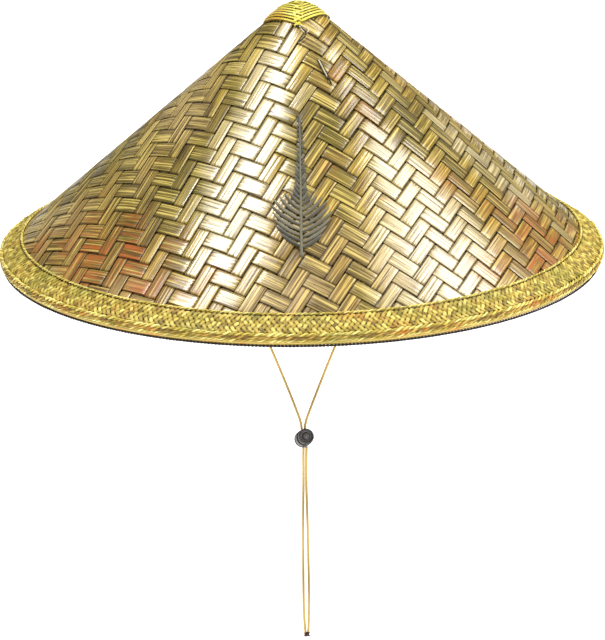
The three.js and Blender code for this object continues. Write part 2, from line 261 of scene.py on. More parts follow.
def through(points, step):
    """Points evenly spaced along a centripetal Catmull-Rom curve, and how far along it each lies."""
    points = np.asarray(points, float)
    p = np.concatenate([[2 * points[0] - points[1]], points, [2 * points[-1] - points[-2]]])
    knots = np.concatenate([[0], np.cumsum(np.sqrt(np.linalg.norm(np.diff(p, axis=0), axis=1)))])
    dense = []
    for k in range(1, len(p) - 2):
        t = np.linspace(knots[k], knots[k + 1], 60, endpoint=False)[:, None]
        t0, t1, t2, t3 = knots[k - 1:k + 3]
        a1 = (t1 - t) / (t1 - t0) * p[k - 1] + (t - t0) / (t1 - t0) * p[k]
        a2 = (t2 - t) / (t2 - t1) * p[k] + (t - t1) / (t2 - t1) * p[k + 1]
        a3 = (t3 - t) / (t3 - t2) * p[k + 1] + (t - t2) / (t3 - t2) * p[k + 2]
        b1 = (t2 - t) / (t2 - t0) * a1 + (t - t0) / (t2 - t0) * a2
        b2 = (t3 - t) / (t3 - t1) * a2 + (t - t1) / (t3 - t1) * a3
        dense.append((t2 - t) / (t2 - t1) * b1 + (t - t1) / (t2 - t1) * b2)
    dense = np.concatenate(dense + [points[-1:]])
    along = distances(dense)
    wanted = np.linspace(0, along[-1], max(2, round(along[-1] / step) + 1))
    return np.stack([np.interp(wanted, along, dense[:, axis]) for axis in range(3)], -1), wanted


def frames(path):
    """Two directions square to the path at each point, turning as little as they can."""
    ahead = np.gradient(path, axis=0)
    ahead /= np.linalg.norm(ahead, axis=1)[:, None]
    side = np.cross(ahead[0], (0, 0, 1) if abs(ahead[0][2]) < 0.9 else (0, 1, 0))
    sides = []
    for direction in ahead:
        side = side - direction * np.dot(side, direction)
        side /= np.linalg.norm(side)
        sides.append(side)
    sides = np.array(sides)
    return sides, np.cross(ahead, sides)


def tube(path, radius, sides):
    """Rings of a round tube along a path; radius may be an array of (points, sides)."""
    first, second = frames(path)
    angle = round_angles(sides)
    out = first[:, None] * np.cos(angle)[None, :, None] + second[:, None] * np.sin(angle)[None, :, None]
    return path[:, None] + out * np.broadcast_to(radius, (len(path), sides))[..., None]


# ---- the hat's surface: places are (slant, azimuth from the front, height over the weave) ----
CONE_SIN = 0.75
CONE_COS = math.sqrt(1 - CONE_SIN ** 2)
APEX_Z = 95.5
TIP_RADIUS = 24
TANGENT = TIP_RADIUS * CONE_COS / CONE_SIN
TIP_ANGLE = math.pi / 2 - math.asin(CONE_SIN)
TIP_CENTRE = APEX_Z - TIP_RADIUS / CONE_SIN
SLANT = 276.8


def profile(slant, height):
    """(radius, z) in millimetres, for a distance down the slant and a height square to the surface."""
    slant, height = np.asarray(slant, float), np.asarray(height, float)
    angle = np.minimum(slant / TANGENT, 1) * TIP_ANGLE
    beyond = np.maximum(slant - TANGENT, 0)
    ball = TIP_RADIUS + height
    return ball * np.sin(angle) + CONE_SIN * beyond, TIP_CENTRE + ball * np.cos(angle) - CONE_COS * beyond


def turned(radius, z, azimuth):
    """A point at an azimuth from the front, in metres."""
    radius, z, azimuth = np.broadcast_arrays(radius, z, azimuth)
    return np.stack([radius * np.sin(azimuth), -radius * np.cos(azimuth), z], -1) * MM


def on_hat(slant, azimuth, height):
    return turned(*profile(slant, height), azimuth)


def spread(across, down):
    """A point of the flattened cone as (slant, azimuth): down runs along the front, across to the right."""
    return np.hypot(across, down), np.arctan2(across, down) / CONE_SIN


def beside(slant, azimuth, down, east, across):
    """(slant, azimuth) of the points across a line that runs in the direction (down, east)."""
    size = np.hypot(down, east)
    return (slant[:, None] + across * (east / size)[:, None],
            azimuth[:, None] - across * (down / size / (slant * CONE_SIN))[:, None])


def between(slants, top, bottom):
    """A closed section between two heights over a run of slants."""
    return np.concatenate([np.stack(profile(slants, top), -1), np.stack(profile(slants, bottom), -1)[::-1]])


def lathe(patch, section, around, key=0.0, wave=0.0, tone=0.5, shade=0.0):
    """A closed section of (radius, z) points turned round the axis; wave moves it in and out a little."""
    section = np.asarray(section, float)
    azimuth = round_angles(around)[:, None]
    wobble = wave * (np.sin(5 * azimuth + key) + 0.6 * np.sin(13 * azimuth + 2 * key))
    along = np.abs(azimuth - math.pi) * section[:, 0].mean()
    patch.sweep(turned(section[:, 0] + wobble, section[:, 1], azimuth), (distances(section), along, key),
                (tone, 0, shade), closed=True)


# ---- stains, by azimuth in degrees, slant and size in millimetres, and strength ----
STAINS = [
    (-62, 232, 16, 0.9), (-52, 246, 17, 1.0), (-43, 226, 20, 1.0), (-37, 250, 14, 1.0), (-28, 252, 13, 0.7),
    (-70, 205, 14, 0.6), (-50, 200, 10, 0.5), (62, 240, 18, 0.9), (72, 224, 17, 1.0), (55, 254, 14, 0.8),
    (47, 240, 12, 0.6), (84, 250, 16, 0.8), (12, 140, 7, 0.5), (-8, 205, 8, 0.5), (24, 175, 7, 0.5),
    (-20, 228, 9, 0.5), (33, 120, 7, 0.45), (26, 70, 9, 0.55), (36, 96, 10, 0.5), (50, 168, 10, 0.5),
    (60, 196, 12, 0.6), (-24, 262, 9, 0.7), (-33, 205, 8, 0.5), (-75, 250, 14, 0.7), (41, 262, 12, 0.6),
    (-58, 150, 9, 0.4), (120, 235, 20, 0.8), (150, 190, 15, 0.5), (178, 245, 22, 0.8), (-112, 240, 20, 0.9),
    (-145, 210, 18, 0.6), (-165, 250, 16, 0.7), (100, 150, 12, 0.4), (-95, 130, 12, 0.4),
]

# ---- painted light and shade in the bamboo's tone: patches paler and glossier along the lamps' highlight band and on the lit right, darker and duller on the shaded left and low front; the patches round the back are tone of its own ----
PAINTED_LIGHT_AND_TONES = [
    (-20, 50, 18, 0.55), (-25, 85, 20, 0.6), (-24, 120, 22, 0.65), (-22, 155, 24, 0.65), (-20, 190, 24, 0.6),
    (-19, 220, 22, 0.4), (34, 140, 20, 0.4), (36, 172, 26, 0.5), (36, 208, 32, 0.6), (32, 242, 34, 0.6),
    (18, 250, 20, 0.3), (74, 150, 26, 0.35), (78, 210, 26, 0.4), (50, 90, 18, 0.3), (2, 245, 30, -0.5),
    (-9, 262, 20, -0.35), (6, 200, 18, -0.35), (6, 110, 20, -0.15), (-46, 110, 30, -0.25),
    (-44, 170, 38, -0.3), (-44, 230, 34, -0.25), (55, 130, 14, -0.3), (57, 165, 16, -0.35),
    (58, 200, 16, -0.3), (110, 200, 50, 0.25), (160, 150, 45, -0.25), (200, 220, 50, 0.25),
    (250, 190, 50, -0.2),
]
SPOT_SOFTNESS = 1.6


def patches(places, spots):
    """How strongly the spots reach each place; each fades out from its centre."""
    total = np.zeros(places.shape[:-1])
    for azimuth, slant, size, strength in spots:
        centre = on_hat(slant, math.radians(azimuth), 0)
        away = np.sum((places - centre) ** 2, -1) / (size * MM) ** 2
        total += strength * np.exp(-away / SPOT_SOFTNESS)
    return total


# ---- materials ----
def weave_material(name, dark, middle, light):
    """Split bamboo: lengthwise fibres and ridges, a tone for each splint, brown stains, painted shade at the
    edges and where a splint dives under, and a painted highlight that pales it where the tone is high.
    """
    s = Shader(name, Coat_IOR=1.6, Coat_Roughness=0.24, Specular_IOR_Level=0.25)
    tone, stained, shade = s.tint
    fine = s.fibres((3.0, 0.05, 1), 4, 0.62)
    broad = s.fibres((0.85, 0.012, 1), 2, 0.5)
    blotch = s.fibres((0.16, 0.05, 1))
    base = s.ramp(s.total(tone, 0.5, blotch, 0.5), [(0.2, dark), (0.5, middle), (0.8, light)])
    drift = s.noise(s.place(), 9, 2, 0.5)
    base = s.mix(s.ramp(drift, [(0.46, 0.0), (0.62, 0.6)]), base, srgb(122, 116, 36))
    base = s.mix(s.ramp(drift, [(0.34, 0.55), (0.46, 0.0)]), base, srgb(226, 202, 168))
    # Painted highlight, with some random tone: where the tone is high, mostly in the highlight patches, the
    # colour pales to grey-beige and the streaks soften.
    pale_tone_and_highlight = s.ramp(tone, [(0.62, 0.0), (0.98, 0.62)])
    base = s.mix(pale_tone_and_highlight, base, srgb(206, 192, 158))
    streaks = s.ramp(s.total(fine, 0.6, broad, 0.45),
                     [(0.4, srgb(84, 68, 32)), (0.5, srgb(198, 188, 146)), (0.6, srgb(255, 250, 224))])
    colour = s.mix(s.math("SUBTRACT", 0.95, s.times(pale_tone_and_highlight, 0.45)), base, streaks, "MULTIPLY")
    ridge = s.ramp(broad, [(0.55, 0.0), (0.62, 1.0)])
    ridge_colour = s.mix(pale_tone_and_highlight, srgb(226, 202, 112), srgb(240, 234, 214))
    colour = s.mix(s.times(ridge, 0.65), colour, ridge_colour)
    groove = s.ramp(s.fibres((1.5, 0.02, 4), 2, 0.5), [(0.36, 0.92), (0.43, 0.0)])
    colour = s.mix(groove, colour, srgb(74, 56, 20))
    stain = s.times(stained, s.ramp(s.fibres((0.5, 0.035, 3)), [(0.4, 0.05), (0.6, 0.9)]))
    colour = s.mix(stain, colour, s.mix(fine, srgb(120, 54, 16), srgb(208, 112, 44)))
    specks = s.ramp(s.fibres((1.1, 0.5, 7), 2, 0.5), [(0.68, 0.0), (0.76, 0.75)])
    colour = s.mix(specks, colour, srgb(84, 56, 24))
    # Painted shade: the shade value darkens the edges and the dives nearly to black.
    colour = s.mix(shade, colour, srgb(26, 18, 5))
    height = s.math("ADD", s.times(fine, 0.6), broad)
    rough = s.math("MAXIMUM", s.ramp(fine, [(0.3, 0.36), (0.7, 0.58)]), shade)
    gloss = s.times(s.ramp(shade, [(0.06, 1.0), (0.35, 0.0)]), s.ramp(tone, [(0.1, 0.15), (0.75, 1.0)]))
    s.feed(s.bsdf.inputs["Coat Weight"], gloss)
    return s.finish(colour, rough, height, 0.35 * MM, 0.8)


def straw_material(name, dark, middle, light, rust=0.5, rough=0.45):
    """Plaited straw or raffia: a tone for each strand, fibres along it, rusty patches, painted shade in the
    hollows and between strands.
    """
    s = Shader(name, Specular_IOR_Level=0.45)
    tone, stained, shade = s.tint
    fine = s.fibres((5.0, 0.22, 1))
    base = s.ramp(s.total(tone, 0.5, fine, 0.5), [(0.22, dark), (0.48, middle), (0.75, light)])
    green = s.ramp(s.noise(s.place(), 38, 2, 0.5), [(0.5, 0.0), (0.68, 0.45)])
    colour = s.mix(green, base, srgb(140, 140, 44))
    rusty = s.times(s.ramp(s.noise(s.place(), 55), [(0.56, 0.0), (0.7, 1.0)]), rust)
    colour = s.mix(s.math("MAXIMUM", rusty, stained), colour, srgb(212, 138, 50))
    # Painted shade: the shade value darkens hollows, strand edges and the backing.
    colour = s.mix(shade, colour, srgb(70, 52, 12))
    return s.finish(colour, s.ramp(fine, [(0.3, rough - 0.08), (0.7, rough + 0.18)]), fine, 0.14 * MM, 0.8)


def bamboo_material(name, dark, light):
    """Plain split bamboo: long grain, darker nodes now and then, painted shade at its edges and between
    lashing turns.
    """
    s = Shader(name, Coat_Weight=0.15, Coat_Roughness=0.3)
    grain = s.fibres((2.6, 0.05, 1), 5)
    base = s.ramp(s.total(s.tint[0], 0.4, grain, 0.6), [(0.3, dark), (0.7, light)])
    blotch = s.ramp(s.fibres((0.3, 0.02, 2)), [(0.5, 0.0), (0.75, 0.5)])
    colour = s.mix(blotch, base, srgb(60, 42, 20))
    # Painted shade where the shade value marks it: strip edges, the band's rims beside the hoops and the
    # crevices between lashing turns.
    colour = s.mix(s.tint[2], colour, srgb(60, 42, 20))
    return s.finish(colour, s.ramp(grain, [(0.3, 0.35), (0.7, 0.6)]), grain, 0.2 * MM, 0.7)


def leaf_material():
    """Dried bamboo leaf: fine lengthwise veins, mottled tan and brown, darkened by painted shade on its outer
    face, which lies in the weave's shadow, and a little towards its edges.
    """
    s = Shader("dried_leaf", Roughness=0.7)
    vein = s.fibres((2.2, 0.02, 1), 4, 0.65)
    mottle = s.fibres((0.12, 0.05, 1), 4, 0.65)
    base = s.ramp(s.total(mottle, 0.7, s.tint[0], 0.3),
                  [(0.3, srgb(104, 78, 42)), (0.5, srgb(158, 126, 76)), (0.7, srgb(196, 168, 112))])
    veins = s.ramp(vein, [(0.35, srgb(120, 100, 70)), (0.65, srgb(255, 250, 230))])
    colour = s.mix(0.6, base, veins, "MULTIPLY")
    spots = s.ramp(s.fibres((0.4, 0.3, 5), 2, 0.5), [(0.66, 0.0), (0.74, 0.8)])
    colour = s.mix(spots, colour, srgb(70, 44, 22))
    colour = s.mix(s.tint[2], colour, srgb(34, 24, 10))
    return s.finish(colour, None, vein, 0.2 * MM, 0.7)


def thread_material(name, dark, light, rough=0.6, sheen=0.3):
    """Twisted thread or cord: fine fibres across the lay, painted shade between the plies."""
    s = Shader(name, Roughness=rough, Sheen_Weight=sheen)
    fine = s.fibres((4.0, 1.1, 1))
    colour = s.ramp(s.total(fine, 0.6, s.tint[0], 0.4), [(0.25, dark), (0.7, light)])
    colour = s.mix(s.times(s.tint[2], 0.7), colour, dark)
    return s.finish(colour, None, fine, 0.08 * MM, 0.7)


def motif_material():
    """Dyed fibre cut-out: fine slanted threads over a grey-green ground, paler at the edges."""
    s = Shader("dyed_fibre", Roughness=0.75, Sheen_Weight=0.2)
    threads = s.fibres((0.6, 5.0, 1))
    colour = s.ramp(s.total(threads, 0.7, s.tint[0], 0.3),
                    [(0.32, srgb(34, 34, 26)), (0.52, srgb(74, 72, 56)), (0.72, srgb(128, 124, 98))])
    colour = s.mix(s.times(s.tint[2], 0.6), colour, srgb(150, 144, 112))
    return s.finish(colour, None, threads, 0.15 * MM, 0.8)


def plastic_material():
    """Moulded black plastic: fine grain, painted grey highlights on high edges and where the tint marks them.
    """
    s = Shader("black_plastic", Specular_IOR_Level=0.5)
    grain = s.noise(s.place(), 2600)
    cloud = s.noise(s.place(), 220)
    # Painted highlight: high edges pale towards grey.
    edge = s.ramp(s.node("ShaderNodeNewGeometry").outputs["Pointiness"], [(0.51, 0.0), (0.58, 1.0)])
    colour = s.ramp(cloud, [(0.3, srgb(5, 5, 6)), (0.7, srgb(16, 16, 18))])
    colour = s.mix(s.times(edge, 0.4), colour, srgb(84, 84, 88))
    painted_highlight = s.ramp(cloud, [(0.3, srgb(74, 74, 80)), (0.7, srgb(112, 112, 120))])
    colour = s.mix(s.tint[0], colour, painted_highlight)
    return s.finish(colour, s.ramp(cloud, [(0.3, 0.32), (0.7, 0.5)]), grain, 0.03 * MM, 0.5)


def steel_material():
    """Drawn spring wire: fine lines along it."""
    s = Shader("spring_steel", Metallic=1.0)
    drawn = s.fibres((6, 0.2, 1))
    colour = s.ramp(drawn, [(0.3, srgb(130, 130, 134)), (0.7, srgb(190, 190, 194))])
    return s.finish(colour, s.ramp(drawn, [(0.3, 0.22), (0.7, 0.4)]), drawn, 0.02 * MM, 0.5)


WEAVE_STEEP = weave_material("bamboo_steep", srgb(112, 88, 20), srgb(190, 160, 56), srgb(236, 214, 110))
# The level splints get a darker, greyer copy of the bamboo, partly painted shade for the sheen they catch
# less of.
WEAVE_LEVEL = weave_material("bamboo_level", srgb(88, 78, 26), srgb(154, 138, 60), srgb(220, 204, 122))
WEAVE_BACK = weave_material("bamboo_back", srgb(100, 84, 26), srgb(176, 154, 62), srgb(230, 210, 120))
BRAID = straw_material("straw_braid", srgb(96, 76, 14), srgb(188, 162, 56), srgb(240, 224, 118))
BRAID_EDGE = straw_material("straw_edge", srgb(112, 86, 22), srgb(184, 152, 62), srgb(226, 204, 112), 0.9)
EDGE_CORD = straw_material("straw_cord", srgb(150, 124, 34), srgb(226, 204, 86), srgb(255, 246, 156), 0.3)
DARK_CORD = straw_material("straw_dark_cord", srgb(78, 60, 14), srgb(160, 124, 40), srgb(222, 188, 84), 1.0)
RAFFIA = straw_material("raffia", srgb(160, 142, 22), srgb(228, 212, 70), srgb(252, 242, 126), 0.0, 0.34)
LATTICE = bamboo_material("bamboo_lattice", srgb(168, 134, 76), srgb(220, 192, 130))
HOOP = bamboo_material("bamboo_hoop", srgb(150, 112, 58), srgb(206, 170, 108))
RING = bamboo_material("ring_bamboo", srgb(178, 146, 86), srgb(228, 202, 142))
RATTAN = bamboo_material("rattan", srgb(120, 84, 40), srgb(188, 146, 86))
LEAF = leaf_material()
GOLD_CORD = thread_material("gold_cord", srgb(132, 104, 36), srgb(242, 208, 112), 0.5, 0.15)
DARK_THREAD = thread_material("dark_thread", srgb(16, 12, 8), srgb(48, 40, 30), 0.7, 0.0)
LIGHT_THREAD = thread_material("light_thread", srgb(176, 164, 122), srgb(240, 232, 200))
KNOT = thread_material("melted_end", srgb(36, 16, 8), srgb(92, 44, 22), 0.4, 0.0)
MOTIF = motif_material()
PLASTIC = plastic_material()
STEEL = steel_material()

# ---- the chin cord ----
CORD_DIAMETER = 1.6 * MM
ROUTES = {
    "cord_left_upper": [
        (-89.1, 0, 0), (-87.9, 0, -0.4), (-86.8, 0, -1.6), (-85.8, 0, -3.8), (-75, 0, -30), (-56, 0, -76.2),
        (-36, 0.1, -125.4), (-17, 0.5, -173.1), (-6.5, 1.3, -201.6), (-2.4, 2.1, -214.4),
        (-1.63, 2.38, -220)],
    "cord_right_upper": [
        (89.1, 0, 0), (87.9, 0, -0.4), (86.8, 0, -1.6), (85.8, 0, -3.8), (75, 0, -30), (56, 0, -76.2),
        (36, 0.1, -125.4), (16.5, 0.6, -173.6), (5.8, 1.5, -201.6), (1.4, 2.5, -214.4), (0.52, 2.84, -220)],
    "cord_left_lower": [
        (-0.52, -2.84, -231.6), (-0.7, -2.5, -236.3), (-0.95, -0.8, -258.3), (-1.6, 0, -291.3),
        (-1.9, 0, -326.3), (-1.9, 0, -351.3), (-1.4, 0, -365.3), (-1, 0, -371)],
    "cord_right_lower": [
        (1.63, -2.38, -231.6), (1.45, -2.1, -236.3), (1.15, -0.7, -258.3), (1.6, 0, -291.3),
        (1.9, 0, -326.3), (1.9, 0, -351.3), (1.4, 0, -365.3), (1, 0, -371)],
}
CORD_STEP = 0.5  # mm between the rings of a cord's mesh
CORD_SIDES = 18
CORD_PLIES = 3
CORD_LAY = 5.2  # mm a turn


def laid_cord(name, route):
    """A three-ply twisted cord as one tube whose section turns with the lay."""
    path, along = through(route, CORD_STEP)
    along = along[:, None]
    crest = np.abs(np.cos(CORD_PLIES * (round_angles(CORD_SIDES) - 2 * math.pi * along / CORD_LAY) / 2))
    radius = CORD_DIAMETER / 2 * (0.96 + 0.26 * crest)
    patch = Patch()
    # Painted shade between the plies, where the crest is low.
    patch.sweep(tube(path * MM, radius, CORD_SIDES), (crest * 2, along, 1),
                (0.5 + 0.3 * np.sin(along / 9), 0, 1 - crest))
    return patch.build(name + "_laid", GOLD_CORD, name, "chin_cord"), path * MM, along[-1, 0] * MM


for cord_name, cord_route in ROUTES.items():
    cord, cord_path, cord_length = laid_cord(cord_name, cord_route)
    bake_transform(unparented(cord))

# ---- the woven cone: three families of straight splints on the flattened cone ----
FAMILIES = {1: (60, 9.8), 2: (-30, 12.0), 3: (-120, 9.8)}  # which way its normal points, and its pitch
MOST_SPLINTS = 40
SPLINT_GAP = 0.85
SPLINT_HALF = 0.25  # half the thickness
SPLINT_CROWN = 0.07
WEAVE_MIDDLE = -0.72
WEAVE_LIFT = 0.38
WEAVE_END = 275.2
SHORTEST_SPLINT = 14  # half its length
# Where a splint has points, as shares of the way between two crossings, and how much of it a change takes
CHANGE_SHARES = (0, 0.36, 0.43, 0.5, 0.57, 0.64)
LEVEL_SHARES = (0, 0.5)
CHANGE_LENGTH = 0.28
SPLINT_ACROSS = np.array([-1, -0.94, -0.78, -0.6, -0.42, -0.24, -0.08, 0.08, 0.24, 0.42, 0.6, 0.78, 0.94, 1])


def splint_distance(family, number):
    return (number + 0.5) * FAMILIES[family][1]


def crossings(family, number):
    """Where a splint crosses the others, in order along it, with +1 where it lies over and -1 where under."""
    reach = math.sqrt(max(WEAVE_END ** 2 - splint_distance(family, number) ** 2, 0))
    found = []
    after, before = {1: (3, 2), 2: (1, 3), 3: (2, 1)}[family]
    for other, side in ((after, 1), (before, -1)):
        for index in range(MOST_SPLINTS):
            away = splint_distance(other, index)
            if away > reach + FAMILIES[2][1]:
                break
            numbers = {family: number, other: index}
            if {family, other} == {1, 2}:
                top = 2 if (numbers[1] - numbers[2]) % 4 in (0, 1) else 1
            elif {family, other} == {2, 3}:
                top = 2 if (numbers[2] + numbers[3]) % 4 in (2, 3) else 3
            else:
                top = 3 if (numbers[1] + numbers[3] + 1) % 4 in (0, 1) else 1
            found.append((side * away, 1 if top == family else -1))
    return sorted(found), reach


def splint(patch, family, number):
    """A splint from rim to rim, over and under the ones it crosses, ridged along its length."""
    direction, pitch = FAMILIES[family]
    marks, reach = crossings(family, number)
    if len(marks) < 3 or reach < SHORTEST_SPLINT:
        return
    places, signs = np.array(marks, float).T
    along = [-reach]
    for k in range(len(places) - 1):
        shares = CHANGE_SHARES if signs[k] != signs[k + 1] else LEVEL_SHARES
        along += [places[k] + (places[k + 1] - places[k]) * share for share in shares]
    along = np.array(sorted(a for a in along if -reach <= a < reach) + [reach])
    k = np.clip(np.searchsorted(places, along, side="right") - 1, 0, len(places) - 2)
    share = (along - places[k]) / (places[k + 1] - places[k])
    lift = signs[k] + (signs[k + 1] - signs[k]) * smooth((share - 0.5) / CHANGE_LENGTH + 0.5)

    half = (pitch - SPLINT_GAP) / 2 + rng.uniform(-0.3, 0.12)
    drift = rng.uniform(-0.15, 0.15) + 0.16 * np.sin(along / rng.uniform(45, 90) + rng.uniform(0, 6))
    ridges = rng.choice([3.0, 3.5, 4.0])
    phase = rng.uniform(0, 2 * math.pi)
    depth = rng.uniform(0.06, 0.12)
    tilt = rng.uniform(-0.012, 0.012)
    tone = rng.uniform(0, 1)
    stained = rng.choice([0.3, 0.8, 1.0])

    body = 1 - SPLINT_ACROSS ** 2
    ripple = depth * np.cos(math.pi * ridges * SPLINT_ACROSS + phase) * np.minimum(1, 3 * body)
    top = SPLINT_HALF * np.minimum(1, 4.5 * body) + SPLINT_CROWN * body + ripple
    section = np.concatenate([top, [-SPLINT_HALF] * 3])
    across = np.concatenate([SPLINT_ACROSS, [0.75, 0, -0.75]]) * half
    edge = np.concatenate([np.abs(SPLINT_ACROSS), [1, 1, 1]]) ** 14

    distance = (splint_distance(family, number) + drift)[:, None] + across
    slant = np.minimum(np.hypot(distance, along[:, None]), WEAVE_END)
    azimuth = (math.radians(direction) + np.arctan2(along[:, None], distance)) / CONE_SIN
    height = WEAVE_MIDDLE + WEAVE_LIFT * lift[:, None] + section + tilt * across
    rings = on_hat(slant, azimuth, height)
    # Painted shade: darker towards each long edge and where the splint dives under a crossing one.
    dive = np.clip((0.85 - lift) / 0.95, 0, 1)[:, None]
    # The tone carries painted light: the patches lift it along the highlight band and the lit right side, and
    # lower it in the shaded parts.
    tone_and_light_here = np.clip(0.22 + 0.5 * tone + patches(rings, PAINTED_LIGHT_AND_TONES), 0, 1)
    stain_here = np.clip(patches(rings, STAINS), 0, 1) * stained
    key = 13.7 * (number + MOST_SPLINTS * family)
    shade = np.maximum(0.55 * edge, 0.82 * dive)
    patch.sweep(rings, (across, along[:, None], key), (tone_and_light_here, stain_here, shade))


for family_number, weave_used, piece_name in ((1, WEAVE_STEEP, "weave_steep_splints"),
                                              (2, WEAVE_LEVEL, "weave_level_splints"),
                                              (3, WEAVE_BACK, "weave_back_splints")):
    weave = Patch()
    for index in range(int(WEAVE_END / FAMILIES[family_number][1]) + 1):
        splint(weave, family_number, index)
    weave.build(piece_name, weave_used, "outer_weave")

# ---- the dried leaf under it ----
LEAF_ROWS = [(20, 120, 16), (88, 200, 26), (165, 272, 40)]  # from, to, how many round
LEAF_LAP = 1.5
LEAF_TOP = -1.72
LEAF_THICKNESS = 0.12


def leaf_blade(patch, start, end, azimuth, width, layer, key):
    """A long leaf along the slant, bent to the cone, its edges lapping its neighbours."""
    share = np.linspace(0, 1, 18)[:, None]
    across = np.linspace(-1, 1, 9)
    slant = start + (end - start) * share
    half = width / 2 * np.clip(np.sin(math.pi * (0.1 + 0.82 * share)) ** 0.35, 0.3, 1)
    half = half * np.clip(slant / end + 0.15, 0.25, 1)
    turn = azimuth + across * half / (slant * CONE_SIN)
    top = LEAF_TOP - 0.34 + 0.2 * across + 0.05 * np.cos(9 * across) - 0.03 * layer
    under = on_hat(slant, turn, top - LEAF_THICKNESS)
    rings = np.concatenate([on_hat(slant, turn, top), under[:, ::-1]], 1)
    # Painted shade: the outer face, which lies in the weave's shadow and shows only through its gaps, is
    # darkened nearly to black; the inner face a little at its edges.
    shade = np.concatenate([0.85 + 0 * across, 0.12 * np.abs(across) ** 6])
    sides = np.concatenate([across, across[::-1]]) * half
    patch.sweep(rings, (sides, slant, key), (rng.uniform(0, 1), 0, shade))


leaves = Patch()
for row, (leaf_start, leaf_end, leaf_count) in enumerate(LEAF_ROWS):
    leaf_width = LEAF_LAP * 2 * math.pi * CONE_SIN * leaf_end / leaf_count
    for index in range(leaf_count):
        leaf_blade(leaves, leaf_start + rng.uniform(-3, 3), leaf_end + rng.uniform(-3, 0),
                   2 * math.pi * (index + rng.uniform(-0.12, 0.12)) / leaf_count, leaf_width, row,
                   31.0 * index + 7 * row)
lathe(leaves, between(np.linspace(0.3, 30, 16), LEAF_TOP, LEAF_TOP - 0.18), 64, 400.0, tone=0.4, shade=0.15)
leaves.build("leaf_blades", LEAF, "leaf_lining")

# ---- the open hexagonal lattice inside: log spirals both ways and rings ----
LATTICE_MIDDLE = -2.85
LATTICE_LIFT = 0.22
LATTICE_HALF = 0.17  # half the thickness
LATTICE_ZONES = [(22.0, 105.0, 10, 2.0), (100.0, 268.0, 20, 2.5)]  # from, to, spirals each way, half width
LATTICE_START = math.log(105.0)
LATTICE_POINTS = 28  # a row of cells
MOST_RINGS = 12


def flat_strip(patch, slant, azimuth, lift, half, key, closed=False):
    """A flat strip along a line of (slant, azimuth) points."""
    if closed:
        down, east = 0 * slant, np.ones_like(slant)
    else:
        down, east = np.gradient(slant), np.gradient(azimuth) * slant * CONE_SIN
    share = np.array([-1, -0.9, -0.4, 0, 0.4, 0.9, 1, 0.9, 0, -0.9])
    thick = LATTICE_HALF * np.minimum(1, 5 * (1 - share ** 2)) + 0.05 * (1 - share ** 2)
    section = np.where(np.arange(len(share)) < 7, thick, -thick)
    height = LATTICE_MIDDLE + LATTICE_LIFT * lift[:, None] + section
    rings = on_hat(*beside(slant, azimuth, down, east, share * half), height)
    steps = np.hypot(np.diff(slant), np.diff(azimuth) * slant[1:] * CONE_SIN)
    along = np.concatenate([[0], np.cumsum(steps)])[:, None]
    patch.sweep(rings, (share * half, along, key), (rng.uniform(0, 1), 0, 0.4 * np.abs(share) ** 10), closed)


lattice = Patch()
for zone_top, zone_bottom, spirals, half_width in LATTICE_ZONES:
    cell = 2 * math.pi * CONE_SIN / spirals
    row_step = math.sqrt(3) * cell / 2
    points = int(LATTICE_POINTS * math.log(zone_bottom / zone_top) / row_step)
    height_log = np.linspace(math.log(zone_top), math.log(zone_bottom), points)
    phase = 2 * math.pi * (height_log - LATTICE_START) / row_step
    for hand in (1, -1):
        for index in range(spirals):
            turned_by = (cell * index + hand * (height_log - LATTICE_START) / math.sqrt(3)) / CONE_SIN
            flat_strip(lattice, np.exp(height_log), turned_by, hand * np.cos(phase), half_width,
                       17.0 * index + 5 * hand)
    first_row = math.ceil((math.log(zone_top) - LATTICE_START) / row_step - 0.5)
    azimuths = round_angles(14 * spirals)
    for index in range(first_row, first_row + MOST_RINGS):
        ring_slant = math.exp(LATTICE_START + (index + 0.5) * row_step)
        if zone_top + 3 < ring_slant < zone_bottom - 4:
            flat_strip(lattice, np.full_like(azimuths, ring_slant), azimuths,
                       np.cos(spirals * azimuths + math.pi * (index % 2)), half_width, 900.0 + index, True)
lattice.build("lattice_strips", LATTICE, "inner_lattice")

# ---- the rim's two hoops ----
HOOP_WIDTH = 8
HOOP_THICKNESS = 1.2
HOOP_TOP = SLANT - 1.5 - HOOP_WIDTH


def rounded(corners, per_side=5):
    """A closed outline with points along each side and its corners drawn in a little."""
    corners = np.asarray(corners, float)
    shares = np.linspace(0.08, 0.92, per_side)[:, None]
    sides = zip(corners, np.roll(corners, -1, 0))
    return np.concatenate([here + (there - here) * shares for here, there in sides])


for hoop_name, hoop_low in (("outer_rim_hoop", 0.3), ("inner_rim_hoop", -4.9)):
    hoop_end, hoop_high = HOOP_TOP + HOOP_WIDTH, hoop_low + HOOP_THICKNESS
    corners = [(HOOP_TOP, hoop_low), (hoop_end, hoop_low), (hoop_end, hoop_high), (HOOP_TOP, hoop_high)]
    hoop = Patch()
    lathe(hoop, rounded([profile(*corner) for corner in corners]), 240, 3.0)
    hoop.build(hoop_name + "_splint", HOOP, hoop_name)

# ---- the plaited binding round the rim ----
PLAIT_STRANDS = 5
PLAIT_WIDTH = 15.2
PLAIT_LAY = 19.0
PLAIT_HALF = 1.3  # half a strand's width
PLAIT_THICK = 0.34
PLAIT_LIFT = 0.36
PLAIT_STEP = 1.1


def over_step(slant, low, high):
    """Height of the braid's middle: low on the weave, high over the hoop."""
    return low + (high - low) * smooth((slant - HOOP_TOP + 2.3) / 3)


